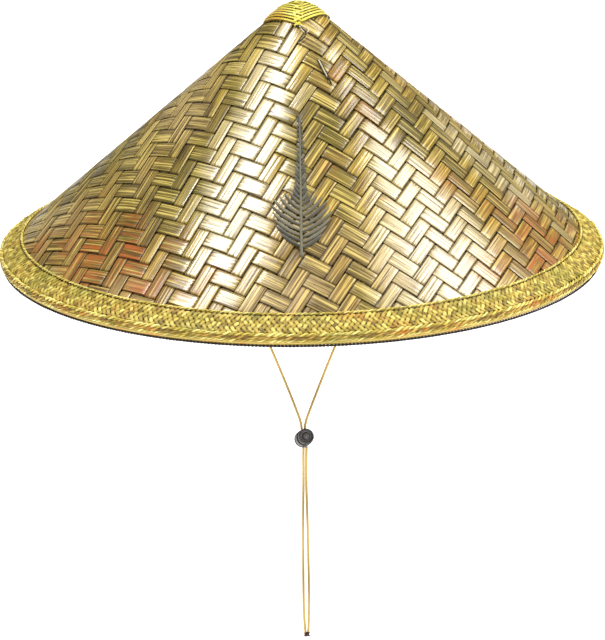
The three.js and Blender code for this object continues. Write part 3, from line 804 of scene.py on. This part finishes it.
def plait(patch, top, low, high, flip):
    """A flat plait round the rim: each strand runs from edge to edge, over one and under the next."""
    length = 2 * math.pi * CONE_SIN * (top + PLAIT_WIDTH / 2)
    periods = round(length / PLAIT_LAY)
    steps = int(periods * PLAIT_LAY / PLAIT_STEP)
    travel = np.arange(steps) / steps * periods
    azimuth = 2 * math.pi * travel / periods
    along = (np.abs(azimuth - math.pi) * length / 2 / math.pi * 1.6)[:, None]
    share = np.array([-1, -0.8, -0.35, 0.35, 0.8, 1, 0.5, -0.5])
    thick = PLAIT_THICK * np.minimum(1, 3.5 * (1 - share ** 2)) + 0.2 * (1 - share ** 2)
    section = np.where(np.arange(len(share)) < 6, thick, -PLAIT_THICK)
    for strand in range(PLAIT_STRANDS):
        wave = (travel + strand / PLAIT_STRANDS) % 1
        rising = wave < 0.5
        crossed = np.where(rising, 2 * wave, 2 - 2 * wave)
        place = 0.5 + (crossed - 0.5) * (1 - 0.08 * np.abs(2 * crossed - 1) ** 3)
        count = crossed * PLAIT_STRANDS
        edge_fade = smooth(count / 0.8) * smooth((PLAIT_STRANDS - count) / 0.8)
        lift = np.where(rising, 1, -1) * np.cos(math.pi * count) * edge_fade
        jitter = 0.22 * np.sin(azimuth * 37 + 3 * strand) + 0.18 * np.sin(azimuth * 91 + strand)
        slant = top + PLAIT_WIDTH * place + jitter
        down = (np.roll(slant, -1) - np.roll(slant, 1)) / 2
        height = (over_step(slant, low, high) + PLAIT_LIFT * lift)[:, None] + flip * section
        rings = on_hat(*beside(slant, azimuth, down, length / steps, share * PLAIT_HALF), height)
        # Painted shade where a strand dives under the others, and along its edges.
        hollow = 0.95 * np.clip(0.2 - flip * lift, 0, 1)[:, None]
        shade = np.clip(hollow + 0.5 * np.abs(share) ** 6, 0, 0.9)
        tone = 0.5 + 0.3 * np.sin(azimuth * 23 + 5 * strand) + 0.2 * np.sin(azimuth * 171 + 2 * strand)
        patch.sweep(rings, (share * PLAIT_HALF, along, 80 + 9.0 * strand), (tone[:, None], 0, shade), True)


def backing(patch, top, low, high, flip):
    """The folded strip that the plait is sewn to, painted near-black as shade where it shows between the
    strands.
    """
    slants = np.linspace(top - 0.2, top + PLAIT_WIDTH + 0.4, 12)
    middle = over_step(slants, low, high)
    section = between(slants, middle - flip * 0.45, middle - flip * 0.7)
    lathe(patch, section, 360, 70.0 + flip, tone=0.2, shade=0.97)


for face_name, *plait_place in (("outer", 259.3, 1.05, 2.55, 1), ("inner", 259.6, -4.15, -5.95, -1)):
    binding = Patch()
    plait(binding, *plait_place)
    backing(binding, *plait_place)
    binding.build(f"binding_{face_name}_plait", BRAID, "rim_binding")


def straw_rope(name, node, at, ply_radius, lay, key, uneven=0.12, material=EDGE_CORD, sides=8, step=0.9):
    """Two plies twisted together into a cord that runs round the hat at (radius, z)."""
    radius, z = at
    azimuth = round_angles(int(2 * math.pi * radius / step))[:, None]
    angle = round_angles(sides)
    rope = Patch()
    for ply in (0, 1):
        spin = round(2 * math.pi * radius / lay) * azimuth + math.pi * ply
        swell = 1 + uneven * np.sin(azimuth * 61 + key + ply) * np.sin(azimuth * 17 + 2 * key)
        out = 0.82 * ply_radius * swell
        rings = turned(radius + out * np.cos(spin) + ply_radius * swell * np.cos(angle),
                       z + out * np.sin(spin) + ply_radius * swell * np.sin(angle), azimuth)
        # Painted shade on the side of each ply that faces the other.
        inward = 0.5 - 0.5 * np.cos(angle - spin)
        tone = 0.5 + 0.4 * np.sin(azimuth * 29 + key + 2 * ply)
        rope.sweep(rings, (angle * ply_radius, np.abs(azimuth - math.pi) * radius, key + ply),
                   (tone, 0, 0.85 * inward ** 3), closed=True)
    rope.build(name, material, node)


straw_rope("binding_outer_cord_laid", "binding_outer_cord", profile(258.0, 1.15), 0.5, 6.4, 1.0)
straw_rope("binding_inner_cord_laid", "binding_inner_cord", profile(258.0, -4.2), 0.5, 6.4, 2.0)
straw_rope("binding_bead_row", "rim_binding", profile(275.4, 2.95), 0.72, 8.6, 3.0, 0.3)
straw_rope("binding_dark_row", "rim_binding", (209.2, -86.5), 0.6, 9.4, 4.0, 0.4, DARK_CORD)

# The folded straw that closes the edge, from under the rows of cord round to the inside, as (radius, z)
EDGE_OUTLINE = [(207.9, -84.6), (209.2, -86.6), (209.0, -89.4), (207.4, -91.6), (205.4, -92.5),
                (203.4, -92.4), (202.0, -90.8), (201.4, -88.6)]
EDGE_CORE = [(202.6, -88.4), (203.2, -90.0), (204.2, -91.0), (206.2, -90.6), (207.4, -88.8), (207.8, -86.8),
             (206.9, -85.2)]
EDGE_MIDDLE = (205, -88.5)
STRAW_WIDTH = 1.9


def straw_edge():
    """The edge's outer face, grooved between its straws with painted shade in the grooves, closed by a plain
    core painted dark as shade.
    """
    corners = np.array(EDGE_OUTLINE)
    shares = np.linspace(0, 1, 6, endpoint=False)[:, None]
    dense = [here + (there - here) * shares for here, there in zip(corners, corners[1:])]
    dense = np.concatenate(dense + [corners[-1:]])
    lengths = distances(dense)
    bulge = np.abs(np.sin(lengths * math.pi / STRAW_WIDTH))
    ahead = np.gradient(dense, axis=0)
    outward = np.stack([-ahead[:, 1], ahead[:, 0]], -1)
    outward /= np.linalg.norm(outward, axis=1)[:, None]
    outward *= np.sign(np.sum(outward * (dense - EDGE_MIDDLE), 1))[:, None]
    dense = dense + outward * (0.16 * bulge - 0.1)[:, None]
    # Painted shade in the grooves between straws, and full shade on the core.
    shade = np.concatenate([0.7 * (1 - bulge) ** 3, np.ones(len(EDGE_CORE))])
    tone = np.concatenate([0.55 + 0.25 * np.sin(lengths * 2.1), np.zeros(len(EDGE_CORE))])
    patch = Patch()
    lathe(patch, np.concatenate([dense, EDGE_CORE]), 480, 5.0, 0.12, tone, shade)
    patch.build("binding_edge_straw", BRAID_EDGE, "rim_binding")


straw_edge()
straw_rope("binding_low_row", "rim_binding", (209.1, -88.5), 0.55, 7.8, 9.0, 0.35)
# A near-black thread along the bottom edge stands in for the shadow line under the edge: painted shade.
straw_rope("binding_bottom_shade_thread", "rim_binding", (207.2, -92.6), 0.55, 5.0, 6.0, 0.05, DARK_THREAD, 6, 1.2)

# ---- the peak cap: raffia laid in three leaning sectors that lap like herringbone ----
CAP_SECTORS = [(-27, -120, 0, 24.2), (37, 0, 120, 22.0), (128, 120, 240, 22.0)]  # normal, from, to, reach
CAP_PITCH = 2.7
CAP_START = 0.9
CAP_LIMIT = 31.5
CAP_LIFT = 0.42


def cap_peak(slant):
    """How much the cap's tip stands above the weave's rounder one."""
    return 1.6 * np.clip(1 - np.asarray(slant, float) / 17, 0, 1) ** 2


def cap_strand(patch, normal, first, last, distance, index, sector):
    """A straight strand of raffia across its sector, lapping over and under at the sector's two sides."""
    normal, first, last = (math.radians(angle) for angle in (normal, first, last))
    turn = np.linspace(-1.45, 1.45, 240)
    down = distance / np.cos(turn)
    azimuth = (normal + turn) / CONE_SIN
    lap = 3.0 / np.maximum(down * CONE_SIN, 2.0)
    keep = (azimuth > first - lap) & (azimuth < last + lap) & (down < CAP_LIMIT)
    if keep.sum() < 6:
        return
    turn = np.linspace(turn[keep][0], turn[keep][-1], 44)
    half = (CAP_PITCH - 0.55) / 2 * rng.uniform(0.92, 1.06)
    share = np.array([-1, -0.85, -0.5, 0, 0.5, 0.85, 1, 0.5, -0.5])
    section = np.where(np.arange(len(share)) < 7, 0.62 * np.sqrt(np.maximum(0, 1 - share ** 2)) + 0.1, -0.3)
    along = (distance * np.tan(turn))[:, None]
    reach = distance + share * half
    slant = np.hypot(reach, along)
    place = (normal + np.arctan2(along, reach)) / CONE_SIN
    middle_slant, middle_place = slant[:, 3], place[:, 3]
    under = smooth(((last - middle_place) * middle_slant * CONE_SIN - 0.3) / 2.4)
    over = smooth(((middle_place - first) * middle_slant * CONE_SIN - 0.3) / 2.4)
    lift = CAP_LIFT * (1 if index % 2 else -1) * (over - under)
    edge_drop = -0.8 * smooth((middle_slant - CAP_LIMIT + 2.5) / 2.5)
    height = 1.0 + (lift + edge_drop)[:, None] + section + cap_peak(slant)
    gold = smooth((-place - 0.35) / 0.5) * smooth((slant - 11) / 6) * (place < 0)
    # Painted shade darkens each strand's edges, so the gaps between strands read dark.
    patch.sweep(on_hat(slant, place, height), (share * half, along, 300 + 11.0 * index + 70 * sector),
                (rng.uniform(0.2, 1), 0.42 * gold, 0.95 * np.abs(share) ** 3))


cap = Patch()
cap_slants = np.linspace(0.4, 21.5, 14)
# The cap's core under the strands is painted nearly black as shade, where it shows in the gaps.
lathe(cap, between(cap_slants, 0.6 + cap_peak(cap_slants), 0.3), 60, 9.0, tone=0.1, shade=0.95)
for sector_number, (*cap_sector, cap_reach) in enumerate(CAP_SECTORS):
    for index in range(int((cap_reach - 0.8) / CAP_PITCH) + 1):
        cap_strand(cap, *cap_sector, CAP_START + CAP_PITCH * index, index, sector_number)
cap.build("peak_raffia", RAFFIA, "peak_cap")

# ---- threads on the front, as (slant, height, azimuth in degrees) ----
THREAD_LAY = 3.2
THREAD_STEP = 0.4
PEAK_LOOP = [(26.5, 1.2, -5), (29, 1.9, 1), (31.5, 2.4, 8), (34.5, 2.2, 11), (37.5, 1.8, 7), (40.5, 0.9, 0.5)]
PEAK_LIGHT_LOOP = [(27, 1.8, 3), (29.5, 2.8, 10), (32, 2.6, 16), (33.5, 2, 12), (31, 2.2, 5), (28, 1.6, 2)]
FRONT_STITCH = [(56, 0.9, 18.4), (60, 1.1, 19.2), (66, 1.1, 20.3), (72, 0.9, 21.4)]
FRONT_END = [(70, 0.9, 21.0), (73.5, 1.3, 21.7), (77, 0.9, 22.2)]


def laid_thread(name, places, radius, material, node, offsets=(0.0,)):
    """Thin two-ply threads that lie on the weave, one at each offset across it."""
    patch = Patch()
    for offset in offsets:
        points = [on_hat(s, math.radians(a) + offset / (s * CONE_SIN), h) / MM for s, h, a in places]
        path, along = through(points, THREAD_STEP)
        along = along[:, None]
        first, second = frames(path)
        for ply in (0, 1):
            spin = 2 * math.pi * along / THREAD_LAY + math.pi * ply
            centre = path + 0.5 * radius * (first * np.cos(spin) + second * np.sin(spin))
            patch.sweep(tube(centre * MM, 0.56 * radius * MM, 8), (ply, along, 5), (0.5, 0, 0.2))
    patch.build(name, material, node)


laid_thread("peak_tie_loop", PEAK_LOOP, 0.5, DARK_THREAD, "peak_tie")
laid_thread("peak_tie_light_loop", PEAK_LIGHT_LOOP, 0.45, LIGHT_THREAD, "peak_tie")
laid_thread("front_tie_lines", FRONT_STITCH, 0.42, DARK_THREAD, "front_tie", offsets=(-0.95, 0.95))
laid_thread("front_tie_middle", FRONT_STITCH, 0.5, LIGHT_THREAD, "front_tie")
laid_thread("front_tie_end", FRONT_END, 0.6, DARK_THREAD, "front_tie")

# ---- a fern frond in dyed fibre ----
FROND_TOP, FROND_BOTTOM = 99.0, 213.0
FROND_PAIRS = 25


def blade(patch, root, lean, length, width, rise, key):
    """A narrow leaflet from its root at (across, down), curving up towards the frond's tip."""
    share = np.linspace(0, 1, 9)
    heading = lean - 0.55 * share * np.sign(lean)
    step = length / 8
    across = root[0] + np.concatenate([[0], np.cumsum(np.sin(heading[:-1]) * step)])
    down = root[1] - np.concatenate([[0], np.cumsum(np.cos(heading[:-1]) * step)])
    half = width / 2 * np.sqrt(np.clip(np.sin(math.pi * (0.12 + 0.86 * share)), 0.02, 1))
    sides = half[:, None] * (-1, 0, 1, 0)
    x = across[:, None] + sides * np.cos(heading)[:, None]
    y = down[:, None] + sides * np.sin(heading)[:, None]
    rings = on_hat(*spread(x, y), rise + np.array([0.0, 0.22, 0.0, -0.14]))
    shade = 0.3 * np.array([1, 0, 1, 0]) + 0.3 * (share[:, None] > 0.85)
    patch.sweep(rings, (sides, share[:, None] * length, key), (rng.uniform(0, 1), 0, shade))


def frond_spine(patch):
    """The rib down the frond's middle, wider towards its foot."""
    down = np.linspace(FROND_TOP + 3, FROND_BOTTOM, 50)[:, None]
    half = 0.4 + 0.7 * (down - FROND_TOP) / (FROND_BOTTOM - FROND_TOP)
    across = half * (-1, -0.5, 0, 0.5, 1, 0)
    rise = 0.8 + np.array([-0.1, 0.22, 0.34, 0.22, -0.1, -0.3])
    patch.sweep(on_hat(*spread(across, down), rise), (across, down, 600), (0.8, 0, 0.15))


frond = Patch()
for index in range(FROND_PAIRS):
    down_share = (index + 0.4) / FROND_PAIRS
    root_down = FROND_TOP + 4 + (FROND_BOTTOM - FROND_TOP - 10) * down_share
    swell = (1.8 + 5.2 * smooth(down_share / 0.8) + 13.4 * smooth((down_share - 0.6) / 0.2)
             - 11 * smooth((down_share - 0.86) / 0.2))
    lean = 0.72 + 0.42 * smooth((down_share - 0.5) / 0.4)
    for side in (-1, 1):
        blade(frond, (side * 0.3, root_down + 1.2 * (side > 0)), side * lean,
              swell * rng.uniform(0.92, 1.06) * 1.25, 1.9 + 0.9 * down_share, 0.62 + 0.04 * (index % 2),
              7.0 * index + side)
blade(frond, (0, FROND_TOP + 8), 0.0001, 8.5, 2.2, 0.7, 500)
frond_spine(frond)
frond.build("fern_frond", MOTIF, "leaf_motif")

# ---- the head ring ----
BAND_INSIDE, BAND_OUTSIDE, BAND_HALF_HEIGHT = 90.0, 91.2, 7
RING_HOOP_RADIUS, RING_HOOP_Z = 92.4, 5.5
band_outline = rounded([(BAND_INSIDE, -BAND_HALF_HEIGHT), (BAND_OUTSIDE, -BAND_HALF_HEIGHT),
                        (BAND_OUTSIDE, BAND_HALF_HEIGHT), (BAND_INSIDE, BAND_HALF_HEIGHT)], 9)
band = Patch()
lathe(band, band_outline, 240, 21.0, shade=0.25 * (np.abs(band_outline[:, 1]) > 6.3))
band.build("ring_band_splint", RING, "ring_band")
for ring_hoop, ring_z in (("ring_upper_hoop", RING_HOOP_Z), ("ring_lower_hoop", -RING_HOOP_Z)):
    angle = round_angles(14)
    flattened = 0.92 * np.cos(angle) * (1 - 0.12 * np.cos(angle) ** 2)
    hoop = Patch()
    outline = np.stack([RING_HOOP_RADIUS + flattened, ring_z + 1.1 * np.sin(angle)], -1)
    lathe(hoop, outline, 240, 25.0 + ring_z)
    hoop.build(ring_hoop + "_split", HOOP, ring_hoop)

TIES = 6
LASHING_TURNS = 5
LASHING_PITCH = 1.18
LASHING_HALF = 0.6  # half a turn's width
LASHING_MIDDLE = (91.6, 0)
LASHING_LOOP = [
    (89.3, 0), (89.3, 7.6), (90.2, 8.3), (91.6, 8.2), (94.3, 6.9), (94.6, 5.5), (94.4, 3.2), (92.2, 1.2),
    (92.1, 0), (92.2, -1.2), (94.4, -3.2), (94.6, -5.5), (94.1, -7.4), (92.6, -8.2), (90.2, -8.3),
    (89.3, -7.6), (89.3, 0)]


def lashing(name, azimuth):
    """Turns of rattan skin round the band and both hoops."""
    step = 0.7
    outline = through([(r, z, 0) for r, z in LASHING_LOOP], step)[0][:-1, :2]
    ahead = np.roll(outline, -1, 0) - np.roll(outline, 1, 0)
    out = np.stack([-ahead[:, 1], ahead[:, 0]], -1)
    out /= np.linalg.norm(out, axis=1)[:, None]
    out *= np.where(np.sum(out * (outline - LASHING_MIDDLE), 1).sum() < 0, -1, 1)
    share = np.array([-1, -0.5, 0, 0.5, 1, 0])
    bulge = np.array([0, 0.28, 0.36, 0.28, 0, -0.2])
    radius = outline[:, :1] + out[:, :1] * bulge
    z = outline[:, 1:] + out[:, 1:] * bulge
    along = step * np.arange(len(outline))[:, None]
    patch = Patch()
    for turn in range(LASHING_TURNS):
        slip = 0.25 * np.sin(round_angles(len(outline)) + turn)[:, None]
        sideways = (turn - LASHING_TURNS // 2) * LASHING_PITCH + slip + share * LASHING_HALF
        patch.sweep(turned(radius, z, azimuth + sideways / 92), (share, along, turn * 3 + azimuth),
                    (rng.uniform(0, 1), 0, 0.6 * share ** 2), closed=True)
    patch.build(name + "_lashing", RATTAN, name)


for index in range(TIES):
    lashing(f"ring_tie_{index + 1}", math.pi / 2 + math.radians(30 + 360 / TIES * index))

# ---- knots ----
KNOT_TURNS = 3


def lumpy_knot(name, centre, size, radius, material, node, body="hat"):
    """A stopper knot: a strand wound over itself round the cord, over a small core."""
    share = np.linspace(0, 1, 150)
    angle = 2 * math.pi * KNOT_TURNS * share
    around = size * (0.62 + 0.18 * np.cos(5 * angle / KNOT_TURNS))
    ahead = size * 0.75 * (2 * share - 1) * math.cos(math.pi * 0.2)
    path = np.stack([ahead, around * np.cos(angle), around * np.sin(angle)], -1)
    latitude = np.linspace(-1.5, 1.5, 11)[:, None]
    turn = round_angles(16)
    girth = np.cos(latitude) * size * 0.72
    forward = np.sin(latitude) * size * 0.85 + 0 * turn
    core = np.stack([forward, girth * np.cos(turn), girth * np.sin(turn)], -1)
    if body == "chin_cord":  # its axis is upright there, and across the hat elsewhere
        path, core = path[:, [1, 2, 0]], core[..., [1, 2, 0]]
    patch = Patch()
    patch.sweep(tube((centre + path) * MM, radius * MM, 10), (1, share[:, None] * 40, 1), (0.5, 0, 0.15))
    patch.sweep((centre + core) * MM)
    patch.build(name, material, node, body)


for side_name, side in (("left", -1), ("right", 1)):
    node = "cord_stop_" + side_name
    low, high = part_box(node)
    middle = [(low[k] + high[k]) / 2 / MM for k in range(3)]
    lumpy_knot(node + "_knot", np.array([side * 93.6, middle[1], middle[2]]), 1.7, 0.55, GOLD_CORD, node)
lumpy_knot("end_knot_melted", np.array([0, 0, -372.5]), 2.0, 0.7, KNOT, "end_knot", "chin_cord")

# ---- the cord lock: its barrel's axis runs forward, turned by a yaw and a tilt ----
LOCK_CENTRE = np.array([0, 0, -225.8])
YAW, TILT = math.radians(12), math.radians(26)
TURN_YAW = np.array([[math.cos(YAW), -math.sin(YAW), 0], [math.sin(YAW), math.cos(YAW), 0], [0, 0, 1]])
TURN_TILT = np.array([[1, 0, 0], [0, math.cos(TILT), math.sin(TILT)], [0, -math.sin(TILT), math.cos(TILT)]])
BARREL_SIDES = 72
SHARP = math.radians(35)
SLOT_RADIUS = 1.3
SLOT_OFFSET = 1.4  # of its two round ends from the middle
# Sections as (radius, forward, how much painted grey highlight it takes)
BODY_SECTION = [
    (0.0001, -8.0, 0), (3.2, -8.0, 0), (4.6, -7.8, 0), (5.5, -7.3, 0.1), (5.9, -6.5, 0.4), (6.0, -5.6, 0.1),
    (6.0, -4.2, 0.1), (5.6, -3.9, 0.7), (5.6, -2.6, 0.7), (6.0, -2.3, 0.1), (6.0, 1.6, 0.5), (5.9, 2.4, 0.2),
    (5.5, 2.9, 0), (5.0, 3.0, 0), (3.9, 3.0, 0), (3.9, -7.2, 0), (0.0001, -7.2, 0)]
BUTTON_SECTION = [
    (0.0001, -2.6, 0), (3.2, -2.6, 0), (3.5, -2.3, 0), (3.5, 5.3, 0), (4.6, 5.4, 0), (5.3, 5.7, 0.1),
    (5.6, 6.3, 0.3), (5.6, 7.8, 0.1), (5.4, 8.6, 0), (4.95, 9.0, 0), (4.5, 9.0, 0.05), (4.25, 8.7, 0.3),
    (4.1, 8.0, 0.6), (3.8, 7.8, 0.7), (2.9, 7.8, 0.5), (2.6, 8.0, 0.1), (2.4, 8.5, 0.05), (2.1, 8.7, 0.6),
    (0.0001, 8.75, 0.75)]
SPRING_BACK, SPRING_FRONT = 6.65, 3.15
SPRING_RADIUS = 2.6
SPRING_TURNS = 3.5
WIRE_RADIUS = 0.25


def lock_place(points):
    """A place in the lock's own space, where its front is at -Y, in the hat's."""
    return (np.asarray(points) @ (TURN_YAW @ TURN_TILT).T + LOCK_CENTRE) * MM


def slot_cutter(name, forward):
    """A tall bar with round ends that cuts the cord's slot."""
    ring = []
    for angle in np.linspace(0, 2 * math.pi, 28, endpoint=False):
        x = SLOT_OFFSET * math.copysign(1, math.cos(angle)) + SLOT_RADIUS * math.cos(angle)
        ring.append((x, -forward + SLOT_RADIUS * math.sin(angle)))
    cutter = Patch()
    cutter.sweep(lock_place([[(x, y, z) for x, y in ring] for z in (-9, 9)]))
    return cutter.build(name + "_cutter", PLASTIC)


def slotted(section, slot_forward, name, node, body):
    """A turned part of the lock with its cord slot cut through."""
    radius, forward, painted_highlight = np.array(section).T
    angle = round_angles(BARREL_SIDES)[:, None]
    rings = np.stack([radius * np.cos(angle), -forward + 0 * angle, radius * np.sin(angle)], -1)
    patch = Patch()
    patch.sweep(lock_place(rings), tint=(painted_highlight, 0, 0), closed=True)
    made = patch.build(name, PLASTIC, node, body, sharp=SHARP)
    tool = slot_cutter(name, slot_forward)
    modifier = made.modifiers.new("slot", "BOOLEAN")
    modifier.object = tool
    modifier.operation = "DIFFERENCE"
    modifier.solver = "EXACT"
    bpy.context.view_layer.update()
    cut_mesh = bpy.data.meshes.new_from_object(made.evaluated_get(bpy.context.evaluated_depsgraph_get()))
    made.modifiers.clear()
    cut_mesh.set_sharp_from_angle(angle=SHARP)
    # The cut mesh loses its tint, so each vertex takes it from the nearest one of before.
    before = np.array([v.co for v in made.data.vertices])
    after = np.array([v.co for v in cut_mesh.vertices])
    nearest = np.argmin(((after[:, None] - before[None]) ** 2).sum(-1), 1)
    tint = np.array([v.vector for v in made.data.attributes["tint"].data])[nearest]
    cut_mesh.attributes["tint"].data.foreach_set("vector", tint.astype(np.float32).ravel())
    made.data = cut_mesh
    bpy.data.objects.remove(tool)


def lock_spring():
    """The coil between the barrel's end and the button's stem, which shortens with the button."""
    share = np.linspace(0, 1, 130)
    angle = 2 * math.pi * SPRING_TURNS * share
    back_to_front = SPRING_BACK + (SPRING_FRONT - SPRING_BACK) * share
    coil = np.stack([SPRING_RADIUS * np.cos(angle), back_to_front, SPRING_RADIUS * np.sin(angle)], -1)
    patch = Patch()
    patch.sweep(tube(lock_place(coil), WIRE_RADIUS * MM, 10))
    made = patch.build("lock_coil", STEEL, "lock_spring", "cord_lock")
    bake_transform(unparented(made))


slotted(BODY_SECTION, 0.0, "lock_barrel", "lock_body", "cord_lock")
slotted(BUTTON_SECTION, 1.0, "lock_plunger", "lock_button", "lock_button")
lock_spring()

# ---- studio ----
FLOOR_Z = -0.56
FLOOR_HALF = 9
FLOOR_GLOW = 0.55
WORLD_LIGHT = 0.25
# name, which way it lies from the hat, its width and length, watts and colour
LAMPS = [
    ("overhead", (-0.37, -0.12, 0.92), (0.6, 2.0), 150, (1, 0.99, 0.97)),
    ("right", (0.68, 0.05, 0.73), (1.8, 1.8), 135, (1, 0.95, 0.93)),
    ("front", (0.45, -0.9, 0.42), (1.2, 1.0), 42, (1, 0.98, 0.95)),
]
LAMP_DISTANCE = 4.0


def make_floor():
    corners = [(x * FLOOR_HALF, y * FLOOR_HALF, FLOOR_Z) for x, y in ((-1, -1), (1, -1), (1, 1), (-1, 1))]
    mesh = bpy.data.meshes.new("floor")
    mesh.from_pydata(corners, [], [(0, 1, 2, 3)])
    floor = bpy.data.objects.new("floor", mesh)
    bpy.context.scene.collection.objects.link(floor)
    s = Shader("floor_paint", Roughness=0.8, Emission_Color=(1, 1, 1, 1), Emission_Strength=FLOOR_GLOW)
    cloud = s.noise(s.place(), 1.5, 2, 0.55)
    mesh.materials.append(s.finish(s.ramp(cloud, [(0.3, srgb(246, 246, 246)), (0.7, srgb(250, 250, 250))])))


def make_lights():
    world = bpy.data.worlds.new("studio")
    world.use_nodes = True
    world.node_tree.nodes["Background"].inputs["Color"].default_value = (1, 1, 1, 1)
    world.node_tree.nodes["Background"].inputs["Strength"].default_value = WORLD_LIGHT
    bpy.context.scene.world = world
    for name, towards, size, power, colour in LAMPS:
        light = bpy.data.lights.new(name, "AREA")
        light.shape = "RECTANGLE"
        light.size, light.size_y, light.energy, light.color = *size, power, colour
        lamp = bpy.data.objects.new(name, light)
        bpy.context.scene.collection.objects.link(lamp)
        lamp.location = Vector(towards).normalized() * LAMP_DISTANCE
        lamp.rotation_mode = "QUATERNION"
        lamp.rotation_quaternion = (-lamp.location).to_track_quat("-Z", "Y")


make_floor()
make_lights()
bpy.context.scene.view_settings.view_transform = "Standard"
